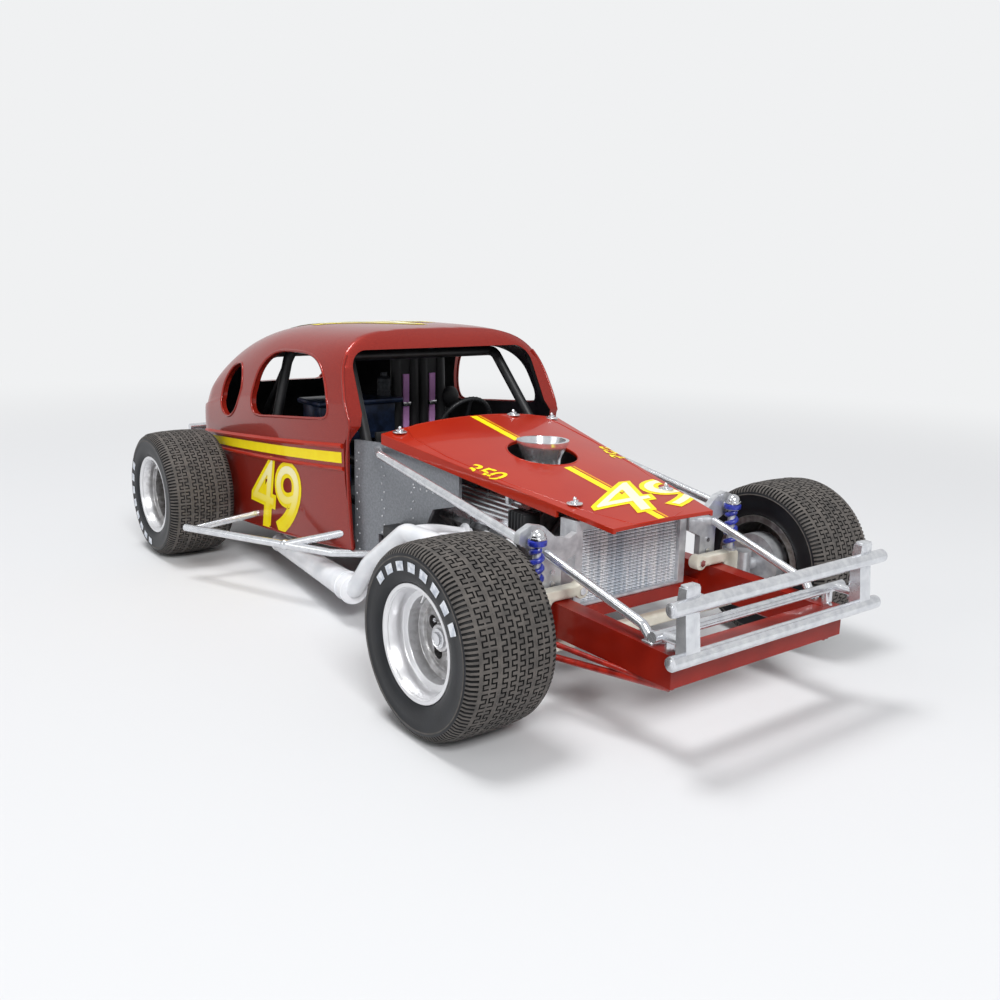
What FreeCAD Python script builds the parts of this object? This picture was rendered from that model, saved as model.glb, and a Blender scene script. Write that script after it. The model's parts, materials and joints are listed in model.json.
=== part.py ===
import FreeCAD, Part
import Sketcher
import math
import os
from FreeCAD import Placement, Rotation, Vector

# Scale model of a modified coupe stock car, in millimetres.
# X runs across the car, Y from nose to tail, Z up. Stations along Y are counted
# from the front axle, and every piece's Placement then moves the car so that
# its origin is on the ground under the middle of its length.

os.makedirs("parts", exist_ok=True)
doc = FreeCAD.newDocument("stock_car_model")

SIZES = {
    # Overall reach from the front axle, which sets the origin
    "front_reach": 28.3,
    "rear_reach": 133.5,
    # Wheels and tyres
    "wheelbase": 108.0,
    "front_tyre_radius": 13.8,
    "rear_tyre_radius": 13.5,
    "front_tyre_width": 14.8,
    "rear_tyre_width": 14.0,
    "knuckle_reach": 3.7,
    "rear_wheel_gap": 1.4,
    "sidewall_edge_radius": 12.4,
    "tread_shoulder": 1.2,
    "rim_lip_radius": 8.3,
    "rim_seat_radius": 7.9,
    "rim_wall": 0.8,
    "rim_lip_inset": 0.5,
    "rim_lip_width": 0.7,
    "rim_step_radius": 6.1,
    "rim_step_depth": 2.6,
    "rim_ledge_radius": 5.2,
    "rim_ledge_depth": 4.6,
    "rim_disc_depth": 5.2,
    "rim_disc_thickness": 1.2,
    "rim_hole_radius": 1.0,
    "rim_hole_circle": 3.55,
    "rim_hole_count": 5,
    "hub_radius": 1.9,
    "hub_face": 1.2,
    "spindle_radius": 1.0,
    "running_clearance": 0.05,
    "drum_radius": 5.2,
    "drum_width": 2.4,
    # Frame rails and crossmembers
    "rail_inner": 15.5,
    "rail_outer": 18.5,
    "frame_front": 24.2,
    "rail_front_top": 14.6,
    "rail_front_bottom": 10.0,
    "rail_top": 15.4,
    "rail_bottom": 9.8,
    "cabin_rail_top": 13.2,
    "rail_drop_start": 38.0,
    "rail_drop_end": 45.5,
    "kick_start": 92.5,
    "kick_end": 99.0,
    "kick_top": 22.4,
    "kick_bottom": 19.0,
    "rail_tail_start": 116.0,
    "frame_tail": 127.0,
    "rail_tail_top": 18.6,
    "rail_tail_bottom": 15.2,
    "crossmember": 2.8,
    "cabin_crossmember": 68.0,
    "belly_plate": 6.0,
    "seat_gap": 0.1,
    # Front axle, steering knuckles and front suspension
    "axle_thickness": 2.0,
    "axle_bottom": 7.4,
    "axle_depth": 2.0,
    "axle_leg_gap": 0.6,
    "axle_leg": 3.3,
    "perch_inner": 12.6,
    "perch_depth": 1.7,
    "kingpin_gap": 0.2,
    "kingpin_radius": 1.7,
    "kingpin_length": 5.6,
    "tower_front": 1.6,
    "tower_thickness": 1.2,
    "tower_top": 27.0,
    "tower_reach": 23.4,
    "coil_station": 21.3,
    "coil_radius": 1.2,
    "coil_offset": 0.2,
    "coil_turns": 5,
    "damper_radius": 0.55,
    "front_coil_top": 24.4,
    # Radiator
    "radiator_half": 11.0,
    "radiator_front": 2.9,
    "radiator_depth": 2.7,
    "radiator_bottom": 12.4,
    "radiator_top": 26.2,
    "core_top": 24.6,
    "core_bottom": 12.9,
    "core_half": 10.7,
    "radiator_frame": 0.8,
    "radiator_frame_half": 12.3,
    "fin_pitch": 0.65,
    "fin_groove": 0.3,
    # Hood
    "hood_front": 4.55,
    "hood_rear": 45.0,
    "hood_front_half": 10.85,
    "hood_rear_half": 20.4,
    "hood_front_top": 26.4,
    "hood_rear_top": 35.9,
    "hood_front_crown": 0.15,
    "hood_rear_crown": 1.8,
    "hood_thickness": 0.6,
    "flange_start": 6.0,
    "flange_depth": 1.3,
    "scoop_station": 25.0,
    "scoop_radius": 6.2,
    # Body shell
    "body_front": 51.5,
    "body_tail": 128.0,
    "body_wall": 1.1,
    "body_half_middle": 26.2,
    "front_narrowing": 1.8,
    "rear_narrowing": 1.0,
    "body_widest": 78.0,
    "tail_round_start": 110.0,
    "roof_peak_station": 66.0,
    "roof_height": 51.6,
    "roof_tail_drop": 24.6,
    "brow_drop": 1.5,
    "side_lean": 1.4,
    "greenhouse_front": 17.6,
    "greenhouse_rear": 23.6,
    "sill_front": 12.0,
    "sill_rear": 7.6,
    "sill_tuck": 0.7,
    "pillar_foot_station": 49.2,
    "pillar_top_station": 57.0,
    "post_flange": 1.3,
    "foot_lead": 1.4,
    "brow_depth": 3.8,
    "pillar_face": 5.0,
    "pillar_face_top": 5.6,
    "roof_side_depth": 5.3,
    "arch_radius": 7.0,
    "tail_opening_station": 119.5,
    "tail_opening_top": 24.8,
    # Cabin
    "floor_thickness": 0.7,
    "floor_front": 47.0,
    "floor_rear": 91.4,
    "firewall_station": 46.0,
    "firewall_thickness": 0.8,
    "firewall_half": 18.6,
    "firewall_drop": 1.0,
    "tub_thickness": 0.8,
    "deck_rear": 130.0,
    "deck_clearance": 0.3,
    "deck_corner": 1.5,
    "cage_radius": 1.0,
    "hoop_station": 86.5,
    "hoop_inset": 5.4,
    "hoop_headroom": 5.6,
    "hoop_lean": 3.6,
    "a_bar_station": 50.8,
    "a_bar_inset": 1.0,
    "seat_inset": 10.3,
    "seat_half": 7.2,
    "seat_front": 68.5,
    "seat_back_front": 80.6,
    "seat_back_depth": 3.4,
    "seat_cushion_top": 18.2,
    "seat_headroom": 7.6,
    "belt_width": 1.5,
    "belt_thickness": 0.4,
    "belt_spread": 3.4,
    "steering_station": 62.0,
    "steering_height": 31.0,
    "steering_radius": 6.2,
    "steering_rim": 0.45,
    # Engine
    "engine_front": 13.0,
    "engine_rear": 38.0,
    "sump_bottom": 8.8,
    "deck_low_half": 11.4,
    "deck_low_height": 17.4,
    "deck_high_half": 5.2,
    "deck_high_height": 23.6,
    "head_height": 3.4,
    "cover_height": 2.4,
    "stack_radius": 4.5,
    "stack_throat": 3.2,
    "stack_top": 34.2,
    "carburettor_top": 28.6,
    "gearbox_rear": 66.0,
    "shaft_height": 11.3,
    # Headers
    "primary_radius": 1.0,
    "header_radius": 1.6,
    "collector_radius": 2.6,
    "header_out": 24.6,
    "header_height": 20.4,
    "collector_station": 45.0,
    "collector_height": 6.3,
    "tailpipe_station": 84.0,
    "tailpipe_radius": 1.8,
    # Tubes outside the body
    "bumper_radius": 1.0,
    "bumper_half": 22.5,
    "bumper_upper": 22.5,
    "bumper_lower": 15.4,
    "bumper_brace_radius": 0.75,
    "bumper_brace_station": 22.4,
    "bumper_brace_height": 17.1,
    "upright_half": 18.6,
    "upright_width": 2.6,
    "brace_radius": 0.7,
    "side_brace_radius": 0.75,
    "guard_radius": 0.75,
    "guard_height": 10.2,
    "guard_rear_reach": 40.0,
    "guard_rear_station": 89.2,
    "guard_front_station": 54.0,
    "guard_front_reach": 25.6,
    "rear_tube_radius": 1.0,
    # Rear axle
    "axle_tube_radius": 1.9,
    "diff_radius": 4.6,
    "rear_coil_reach": 3.1,
}

sheet = doc.addObject("Spreadsheet::Sheet", "Sizes")
for row, (alias, value) in enumerate(SIZES.items(), start=1):
    sheet.set("A%d" % row, alias)
    sheet.set("B%d" % row, str(value))
    sheet.setAlias("B%d" % row, alias)
doc.recompute()

CAR_STATION = "(Sizes.front_reach - Sizes.rear_reach) / 2"

# Lengths that follow from several driving dimensions
BODY_FRONT_HALF = "(Sizes.body_half_middle - Sizes.front_narrowing)"
BODY_REAR_HALF = "(Sizes.body_half_middle - Sizes.rear_narrowing)"
BELT_FRONT = "(Sizes.roof_height - Sizes.greenhouse_front)"
BELT_REAR = "(Sizes.roof_height - Sizes.greenhouse_rear)"
HOOP_HALF = "(Sizes.body_half_middle - Sizes.hoop_inset)"
HOOP_TOP = "(Sizes.roof_height - Sizes.hoop_headroom)"
SEAT_CENTRE = "(%s - Sizes.seat_inset)" % HOOP_HALF
SEAT_TOP = "(Sizes.roof_height - Sizes.seat_headroom)"
REAR_COIL = "(Sizes.rail_outer + Sizes.rear_coil_reach)"
LEG_INNER = "(Sizes.rail_outer + Sizes.axle_leg_gap)"
LEG_OUTER = "(%s + Sizes.axle_leg)" % LEG_INNER
KINGPIN = "(%s + Sizes.kingpin_radius + Sizes.kingpin_gap)" % LEG_OUTER
WHEEL_INNER = {"front": "(%s + Sizes.knuckle_reach)" % KINGPIN,
               "rear": "(%s + Sizes.rear_wheel_gap)" % BODY_REAR_HALF}


def value_of(owner, expression):
    """Number that an expression on the sheet gives."""
    result = owner.evalExpression(expression)
    return float(getattr(result, "Value", result))


def size(alias):
    """Value of one driving dimension."""
    return float(sheet.get(alias))


def worked(expression):
    """Value of a length worked out from the sheet."""
    return value_of(sheet, expression)


def origin_plane(body, role):
    return next(item for item in body.Origin.OriginFeatures if item.Role == role)


def sketch_on(body, role, offset):
    """Empty sketch on one of the body's own planes, moved along its normal."""
    sketch = body.newObject("Sketcher::SketchObject", body.Label + "_sketch")
    sketch.AttachmentSupport = (origin_plane(body, role), [""])
    sketch.MapMode = "FlatFace"
    sketch.setExpression("AttachmentOffset.Base.z", offset)
    return sketch


def add_outline(sketch, corners):
    """Closed outline of straight sides, each corner tied to the sheet."""
    points = [Vector(value_of(sketch, a), value_of(sketch, b), 0) for a, b in corners]
    first = sketch.GeometryCount
    count = len(points)
    for index in range(count):
        line = Part.LineSegment(points[index], points[(index + 1) % count])
        sketch.addGeometry(line, False)
    for index in range(count):
        follower = first + (index + 1) % count
        sketch.addConstraint(Sketcher.Constraint("Coincident", first + index, 2, follower, 1))
    for index, (a, b) in enumerate(corners):
        for kind, expression, place in (("DistanceX", a, points[index].x),
                                        ("DistanceY", b, points[index].y)):
            rule = Sketcher.Constraint(kind, -1, 1, first + index, 1, place)
            number = sketch.addConstraint(rule)
            sketch.setExpression("Constraints[%d]" % number, expression)


def add_circle(sketch, a, b, radius):
    """Circle whose centre and radius are tied to the sheet."""
    centre = Vector(value_of(sketch, a), value_of(sketch, b), 0)
    circle = Part.Circle(centre, Vector(0, 0, 1), value_of(sketch, radius))
    number = sketch.addGeometry(circle, False)
    for kind, expression, place in (("DistanceX", a, centre.x), ("DistanceY", b, centre.y)):
        rule = Sketcher.Constraint(kind, -1, 1, number, 3, place)
        sketch.setExpression("Constraints[%d]" % sketch.addConstraint(rule), expression)
    rule = Sketcher.Constraint("Radius", number, value_of(sketch, radius))
    sketch.setExpression("Constraints[%d]" % sketch.addConstraint(rule), radius)


NORMAL_SIGN = {"XY_Plane": 1, "XZ_Plane": -1, "YZ_Plane": 1}


def new_body(name):
    body = doc.addObject("PartDesign::Body", name)
    body.Label = name
    body.setExpression("Placement.Base.y", CAR_STATION)
    return body


def middle_offset(role, low, high):
    """Sketch offset that puts it halfway between two stations."""
    sign = "" if NORMAL_SIGN[role] > 0 else "-"
    return "%s((%s) + (%s)) / 2" % (sign, low, high)


def slab(body, kind, role, low, high, outlines=(), circles=()):
    """Pad or pocket of outlines between two stations along a plane's normal."""
    sketch = sketch_on(body, role, middle_offset(role, low, high))
    for corners in outlines:
        add_outline(sketch, corners)
    for circle in circles:
        add_circle(sketch, *circle)
    before = body.Shape.Volume if body.Tip else 0
    feature = body.newObject("PartDesign::" + kind, body.Label + "_" + kind.lower())
    feature.Profile = sketch
    feature.setExpression("Length", "(%s) - (%s)" % (high, low))
    feature.Midplane = True
    sketch.Visibility = False
    doc.recompute()
    grown = body.Shape.Volume - before
    if (kind == "Pad") != (grown > 0):
        raise RuntimeError(body.Label + ": a " + kind + " changed nothing")
    return feature


def pad(body, role, low, high, *outlines, circles=()):
    return slab(body, "Pad", role, low, high, outlines, circles)


def pocket(body, role, low, high, *outlines, circles=()):
    return slab(body, "Pocket", role, low, high, outlines, circles)


def mirror_across(body, features):
    """Repeat features on the car's other side."""
    mirrored = body.newObject("PartDesign::Mirrored", body.Label + "_mirrored")
    mirrored.Originals = features
    mirrored.MirrorPlane = (origin_plane(body, "YZ_Plane"), [""])
    body.Tip = mirrored
    doc.recompute()
    return mirrored


def round_corners(body, radius, along, corners):
    """Fillet the straight edges along one axis that stand on the given corners."""
    names = []
    base = body.Tip
    places = [tuple(worked(c) for c in corner) for corner in corners]
    for number, edge in enumerate(base.Shape.Edges, start=1):
        if len(edge.Vertexes) != 2:
            continue
        a, b = (vertex.Point for vertex in edge.Vertexes)
        direction = (b - a).normalize()
        if abs(abs(getattr(direction, along)) - 1) > 1e-6:
            continue
        spot = [getattr(a, axis) for axis in "xyz" if axis != along]
        if any(math.dist(spot, place) < 0.01 for place in places):
            names.append("Edge%d" % number)
    if not names:
        raise RuntimeError(body.Label + ": no corner to round")
    fillet = body.newObject("PartDesign::Fillet", body.Label + "_fillet")
    fillet.Base = (base, names)
    fillet.setExpression("Radius", radius)
    doc.recompute()
    return fillet


def mirrored_corners(corners):
    """Outline of a right-hand piece turned over for the left side."""
    return [("-(%s)" % a, b) for a, b in reversed(corners)]


def both_sides(corners):
    """Symmetric outline from its left half, listed from the bottom up."""
    return corners + [("-(%s)" % a, b) for a, b in reversed(corners)]


# Round bars and tubes are worked out from the sheet as plain solids

def rod(start, end, radius):
    """Round bar between two points."""
    axis = end - start
    return Part.makeCylinder(radius, axis.Length, start, axis)


def bent_tube(points, bend, radius):
    """Round bar along straight runs joined by tangent arcs."""
    edges = []
    start = points[0]
    for index in range(1, len(points) - 1):
        corner = points[index]
        back = (points[index - 1] - corner).normalize()
        ahead = (points[index + 1] - corner).normalize()
        half_angle = back.getAngle(ahead) / 2
        reach = bend / math.tan(half_angle)
        arc_start = corner + back * reach
        arc_end = corner + ahead * reach
        inward = (back + ahead).normalize()
        centre = corner + inward * (bend / math.sin(half_angle))
        middle = centre - inward * bend
        edges.append(Part.LineSegment(start, arc_start).toShape())
        edges.append(Part.Arc(arc_start, middle, arc_end).toShape())
        start = arc_end
    edges.append(Part.LineSegment(start, points[-1]).toShape())
    spine = Part.Wire(edges)
    direction = points[1] - points[0]
    ring = Part.Wire([Part.makeCircle(radius, points[0], direction)])
    return spine.makePipeShell([ring], True, True)


def joined(shapes):
    """One solid out of pieces that meet."""
    whole = shapes[0]
    for shape in shapes[1:]:
        whole = whole.fuse(shape)
    return whole.removeSplitter()


def local_shape(name):
    """Shape of an earlier piece, counted from the front axle."""
    shape = doc.getObject(name).Shape.copy()
    shape.translate(Vector(0, -worked(CAR_STATION), 0))
    return shape


def flipped(shape):
    """The same piece on the car's other side."""
    return shape.mirror(Vector(0, 0, 0), Vector(1, 0, 0))


def set_piece(name, shape):
    """Sub-part with a worked-out shape."""
    piece = doc.addObject("Part::Feature", name)
    piece.Label = name
    piece.Shape = shape
    piece.setExpression("Placement.Base.y", CAR_STATION)
    return piece


def pair_of_pieces(name, right):
    """Right-hand piece and its mirror image."""
    set_piece(name + "_right", right)
    set_piece(name + "_left", flipped(right))


# Wheels

def make_wheel(end, side):
    """Rim and tyre of one wheel, turning about X, with its face outwards."""
    half = "Sizes.%s_tyre_width / 2" % end
    face = half + " - Sizes.rim_lip_inset"
    lip = face + " - Sizes.rim_lip_width"
    disc = face + " - Sizes.rim_disc_depth"
    disc_back = disc + " - Sizes.rim_disc_thickness"
    step = face + " - Sizes.rim_step_depth"
    ledge = face + " - Sizes.rim_ledge_depth"
    bore = "Sizes.spindle_radius + Sizes.running_clearance"
    wall = "Sizes.rim_seat_radius - Sizes.rim_wall"
    rim = doc.addObject("PartDesign::Body", "rim_%s_%s" % (end, side))
    rim.Label = rim.Name
    sketch = sketch_on(rim, "XY_Plane", "0")
    add_outline(sketch, [
        ("-(%s)" % face, wall),
        ("-(%s)" % face, "Sizes.rim_lip_radius"),
        ("-(%s)" % lip, "Sizes.rim_lip_radius"),
        ("-(%s)" % lip, "Sizes.rim_seat_radius"),
        (lip, "Sizes.rim_seat_radius"),
        (lip, "Sizes.rim_lip_radius"),
        (face, "Sizes.rim_lip_radius"),
        (face, "Sizes.rim_lip_radius - 0.7 * Sizes.rim_wall"),
        (lip + " - Sizes.rim_lip_width", wall),
        (step, wall + " - 0.1"),
        (step + " - 0.2", "Sizes.rim_step_radius"),
        (ledge, "Sizes.rim_step_radius - 0.1"),
        (ledge + " - 0.2", "Sizes.rim_ledge_radius"),
        (disc, "Sizes.rim_ledge_radius - 0.2"),
        (disc, "Sizes.hub_radius + 0.25"),
        (disc + " + Sizes.hub_face", "Sizes.hub_radius"),
        (disc + " + Sizes.hub_face", bore),
        (disc_back + " - Sizes.hub_face", bore),
        (disc_back + " - Sizes.hub_face", "Sizes.hub_radius"),
        (disc_back, "Sizes.hub_radius + 0.25"),
        (disc_back, "Sizes.rim_ledge_radius + 0.5"),
        (disc_back + " + 0.6", wall),
    ])
    turned = rim.newObject("PartDesign::Revolution", rim.Label + "_turned")
    turned.Profile = sketch
    turned.ReferenceAxis = (sketch, ["H_Axis"])
    turned.Angle = 360
    doc.recompute()
    hole = pocket(rim, "YZ_Plane", disc_back + " - 0.5", disc + " + 0.5",
                  circles=[("0", "Sizes.rim_hole_circle", "Sizes.rim_hole_radius")])
    ring = rim.newObject("PartDesign::PolarPattern", rim.Label + "_holes")
    ring.Originals = [hole]
    ring.Axis = (origin_axis(rim, "X_Axis"), [""])
    ring.Angle = 360
    ring.setExpression("Occurrences", "Sizes.rim_hole_count")
    rim.Tip = ring
    doc.recompute()

    radius = "Sizes.%s_tyre_radius" % end
    bead = "Sizes.rim_lip_radius + Sizes.running_clearance"
    outline = [
        ("-(%s)" % lip, "Sizes.rim_seat_radius"),
        ("-(%s)" % lip, bead),
        ("-(%s)" % face, bead),
        ("-(%s)" % half, bead + " + 1.4"),
        ("-(%s)" % half, "Sizes.sidewall_edge_radius"),
        ("-(%s) + 0.35 * Sizes.tread_shoulder" % half, radius + " - 0.45 * Sizes.tread_shoulder"),
        ("-(%s) + Sizes.tread_shoulder" % half, radius),
    ]
    tyre = doc.addObject("PartDesign::Body", "tyre_%s_%s" % (end, side))
    tyre.Label = tyre.Name
    sketch = sketch_on(tyre, "XY_Plane", "0")
    add_outline(sketch, both_sides(outline))
    turned = tyre.newObject("PartDesign::Revolution", tyre.Label + "_turned")
    turned.Profile = sketch
    turned.ReferenceAxis = (sketch, ["H_Axis"])
    turned.Angle = 360
    doc.recompute()

    sign = "-" if side == "right" else ""
    station = CAR_STATION + (" + Sizes.wheelbase" if end == "rear" else "")
    for body in (rim, tyre):
        body.setExpression("Placement.Base.x", "%s(%s + %s)" % (sign, WHEEL_INNER[end], half))
        body.setExpression("Placement.Base.y", station)
        body.setExpression("Placement.Base.z", radius)
        if side == "right":
            body.setExpression("Placement.Rotation.Angle", "180 deg")
    return rim, tyre


def origin_axis(body, role):
    return next(item for item in body.Origin.OriginFeatures if item.Role == role)


for end in ("front", "rear"):
    for side in ("right", "left"):
        make_wheel(end, side)


# Frame: two box rails with a drop under the cabin and a kick-up over the rear
# axle, joined by crossmembers

frame = new_body("frame_rails")
RAIL_SIDE = [
    ("-Sizes.frame_front", "Sizes.rail_front_bottom"),
    ("-Sizes.frame_front", "Sizes.rail_front_top"),
    ("0", "Sizes.rail_top"),
    ("Sizes.rail_drop_start", "Sizes.rail_top"),
    ("Sizes.rail_drop_end", "Sizes.cabin_rail_top"),
    ("Sizes.kick_start", "Sizes.cabin_rail_top"),
    ("Sizes.kick_end", "Sizes.kick_top"),
    ("Sizes.rail_tail_start", "Sizes.kick_top"),
    ("Sizes.frame_tail", "Sizes.rail_tail_top"),
    ("Sizes.frame_tail", "Sizes.rail_tail_bottom"),
    ("Sizes.rail_tail_start", "Sizes.kick_bottom"),
    ("Sizes.kick_end + 2", "Sizes.kick_bottom"),
    ("Sizes.kick_start + 2", "Sizes.rail_bottom"),
    ("Sizes.rail_drop_start", "Sizes.rail_bottom"),
    ("0", "Sizes.rail_bottom + 0.4"),
]
rail = pad(frame, "YZ_Plane", "-Sizes.rail_outer", "-Sizes.rail_inner", RAIL_SIDE)
mirror_across(frame, [rail])
CROSSMEMBERS = [
    ("-Sizes.frame_front", "Sizes.crossmember", "Sizes.rail_front_bottom", "Sizes.rail_front_top"),
    ("Sizes.tower_front", "Sizes.crossmember", "Sizes.rail_bottom + 0.6", "Sizes.radiator_bottom"),
    ("Sizes.cabin_crossmember", "Sizes.belly_plate", "Sizes.rail_bottom - 1.2", "Sizes.rail_bottom + 0.1"),
    ("Sizes.rail_tail_start - 4", "Sizes.crossmember", "Sizes.kick_bottom", "Sizes.kick_top"),
    ("Sizes.frame_tail - Sizes.crossmember", "Sizes.crossmember", "Sizes.rail_tail_bottom",
     "Sizes.rail_tail_top"),
]
for station, depth, low, high in CROSSMEMBERS:
    reach = "Sizes.rail_outer" if depth == "Sizes.belly_plate" else "Sizes.rail_inner + 0.1"
    pad(frame, "YZ_Plane", "-(%s)" % reach, reach, [
        (station, low),
        (station + " + " + depth, low),
        (station + " + " + depth, high),
        (station, high),
    ])

# Front axle: a beam under the rails whose ends come up outside them and reach
# back over the rails as spring perches

AXLE_HALF = [
    ("-" + LEG_OUTER, "Sizes.axle_bottom"),
    ("-" + LEG_OUTER, "Sizes.rail_top + Sizes.seat_gap + Sizes.perch_depth"),
    ("-Sizes.perch_inner", "Sizes.rail_top + Sizes.seat_gap + Sizes.perch_depth"),
    ("-Sizes.perch_inner", "Sizes.rail_top + Sizes.seat_gap"),
    ("-" + LEG_INNER, "Sizes.rail_top + Sizes.seat_gap"),
    ("-" + LEG_INNER, "Sizes.axle_bottom + Sizes.axle_depth"),
]
HALF_AXLE = "Sizes.axle_thickness / 2"
front_axle = new_body("front_axle")
pad(front_axle, "XZ_Plane", "-" + HALF_AXLE, HALF_AXLE,
    [AXLE_HALF[0]] + AXLE_HALF[1:] + mirrored_corners(AXLE_HALF))


def make_knuckle(name, side):
    """Kingpin, spindle and brake drum that carry one front wheel."""
    sign = "-" if side == "right" else ""
    turn = Rotation(Vector(0, 1, 0), -90 if side == "right" else 90)
    pin = doc.addObject("Part::Cylinder", name + "_kingpin")
    pin.setExpression("Radius", "Sizes.kingpin_radius")
    pin.setExpression("Height", "Sizes.kingpin_length")
    pin.setExpression("Placement.Base.x", sign + KINGPIN)
    pin.setExpression("Placement.Base.z", "Sizes.front_tyre_radius - Sizes.kingpin_length / 2")
    pieces = [pin]
    inner = WHEEL_INNER["front"]
    stretches = {
        "spindle": (KINGPIN, inner + " + Sizes.front_tyre_width / 2 + 2.1", "Sizes.spindle_radius"),
        "drum": (inner + " - 0.6", inner + " + Sizes.drum_width", "Sizes.drum_radius"),
    }
    for part, (start, stop, radius) in stretches.items():
        bar = doc.addObject("Part::Cylinder", name + "_" + part)
        bar.setExpression("Radius", radius)
        bar.setExpression("Height", "(%s) - (%s)" % (stop, start))
        bar.Placement = Placement(Vector(0, 0, 0), turn)
        bar.setExpression("Placement.Base.x", "%s(%s)" % (sign, start))
        bar.setExpression("Placement.Base.z", "Sizes.front_tyre_radius")
        pieces.append(bar)
    knuckle = doc.addObject("Part::MultiFuse", name)
    knuckle.Label = name
    knuckle.Shapes = pieces
    knuckle.setExpression("Placement.Base.y", CAR_STATION)
    return knuckle


make_knuckle("knuckle_right", "right")
make_knuckle("knuckle_left", "left")

# Shock towers: horned plates that stand on the rails beside the radiator

TOWER = [
    ("-Sizes.radiator_frame_half - Sizes.seat_gap", "21.4"),
    ("-Sizes.radiator_frame_half - Sizes.seat_gap", "24.6"),
    ("-13.9", "23.9"),
    ("-16.6", "24.5"),
    ("-19.0", "Sizes.tower_top - 0.5"),
    ("-21.2", "Sizes.tower_top"),
    ("-Sizes.tower_reach", "Sizes.tower_top - 1.0"),
    ("-Sizes.tower_reach - 0.2", "Sizes.tower_top - 2.6"),
    ("-21.6", "23.4"),
    ("-19.4", "22.4"),
    ("-19.0", "20.6"),
    ("-19.0", "Sizes.rail_top + Sizes.seat_gap"),
    ("-15.3", "Sizes.rail_top + Sizes.seat_gap"),
    ("-15.3", "20.0"),
]
for side, corners in (("right", TOWER), ("left", mirrored_corners(TOWER))):
    tower = new_body("shock_tower_" + side)
    pad(tower, "XZ_Plane", "Sizes.tower_front", "Sizes.tower_front + Sizes.tower_thickness", corners)
    round_corners(tower, "0.9", "y", [corners[place] for place in
                                     ((5, 6, 9) if side == "right" else (8, 7, 4))])


def coil_over(x, y, low, high, radius, turns):
    """Damper with its spring drawn as stacked rings."""
    pitch = (high - low - 1.2) / turns
    core = radius * 0.62
    profile = [(0, low), (radius, low), (radius, low + 0.3)]
    for turn in range(turns):
        base = low + 0.5 + turn * pitch
        profile.append((core, base))
        profile.append((radius, base + 0.35 * pitch))
        profile.append((radius, base + 0.65 * pitch))
    profile.append((core, low + 0.5 + turns * pitch))
    profile.append((size("damper_radius"), high - 0.6))
    profile.append((size("damper_radius"), high))
    profile.append((0, high))
    corners = [Vector(x + out, y, z) for out, z in profile]
    face = Part.Face(Part.makePolygon(corners + [corners[0]]))
    return face.revolve(Vector(x, y, 0), Vector(0, 0, 1), 360)


perch_top = size("rail_top") + size("seat_gap") + size("perch_depth")
coil = coil_over(-size("coil_station"), size("coil_offset"), perch_top, size("front_coil_top"),
                 size("coil_radius"), int(size("coil_turns")))
eye = rod(Vector(-size("coil_station"), size("coil_offset") - 0.9, size("front_coil_top") + 0.3),
          Vector(-size("coil_station"), size("tower_front"), size("front_coil_top") + 0.3), 0.75)
pair_of_pieces("front_coilover", joined([coil, eye]))

# Radiator with its fins, and the plate frame in front of it

radiator = new_body("radiator")
CORE_FRONT = "Sizes.radiator_front"
pad(radiator, "XZ_Plane", CORE_FRONT, CORE_FRONT + " + Sizes.radiator_depth", [
    ("-Sizes.radiator_half", "Sizes.radiator_bottom"),
    ("Sizes.radiator_half", "Sizes.radiator_bottom"),
    ("Sizes.radiator_half", "Sizes.radiator_top"),
    ("-Sizes.radiator_half", "Sizes.radiator_top"),
])
GROOVE_LOW = "Sizes.core_bottom + 0.2"
GROOVE_FRONT = CORE_FRONT + " - Sizes.fin_groove"
GROOVE_BACK = CORE_FRONT + " + Sizes.fin_groove"
groove = pocket(radiator, "XZ_Plane", GROOVE_FRONT, GROOVE_BACK, [
    ("-Sizes.core_half + 0.2", GROOVE_LOW),
    ("Sizes.core_half - 0.2", GROOVE_LOW),
    ("Sizes.core_half - 0.2", GROOVE_LOW + " + Sizes.fin_pitch / 2"),
    ("-Sizes.core_half + 0.2", GROOVE_LOW + " + Sizes.fin_pitch / 2"),
])
fins = radiator.newObject("PartDesign::LinearPattern", "radiator_fins")
fins.Originals = [groove]
fins.Direction = (origin_axis(radiator, "Z_Axis"), [""])
fins.setExpression("Length", "Sizes.core_top - Sizes.core_bottom - Sizes.fin_pitch")
fins.setExpression("Occurrences", "floor((Sizes.core_top - Sizes.core_bottom) / Sizes.fin_pitch)")
radiator.Tip = fins

support = new_body("radiator_support")
SUPPORT_BACK = "Sizes.radiator_front - Sizes.seat_gap"
SUPPORT_FRONT = SUPPORT_BACK + " - Sizes.radiator_frame"
pad(support, "XZ_Plane", SUPPORT_FRONT, SUPPORT_BACK, [
    ("-Sizes.radiator_frame_half", "Sizes.radiator_bottom"),
    ("Sizes.radiator_frame_half", "Sizes.radiator_bottom"),
    ("Sizes.radiator_frame_half", "Sizes.radiator_top"),
    ("-Sizes.radiator_frame_half", "Sizes.radiator_top"),
])
pocket(support, "XZ_Plane", SUPPORT_FRONT + " - 0.5", SUPPORT_BACK + " + 0.5", [
    ("-Sizes.core_half", "Sizes.core_bottom"),
    ("Sizes.core_half", "Sizes.core_bottom"),
    ("Sizes.core_half", "Sizes.core_top"),
    ("-Sizes.core_half", "Sizes.core_top"),
])
POST_INNER = "Sizes.radiator_half + Sizes.seat_gap"
POST = [
    ("-Sizes.radiator_frame_half", "Sizes.radiator_bottom"),
    ("-(%s)" % POST_INNER, "Sizes.radiator_bottom"),
    ("-(%s)" % POST_INNER, "Sizes.radiator_top"),
    ("-Sizes.radiator_frame_half", "Sizes.radiator_top"),
]
post = pad(support, "XZ_Plane", SUPPORT_BACK, "Sizes.radiator_front + Sizes.radiator_depth", POST)
mirror_across(support, [post])


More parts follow.
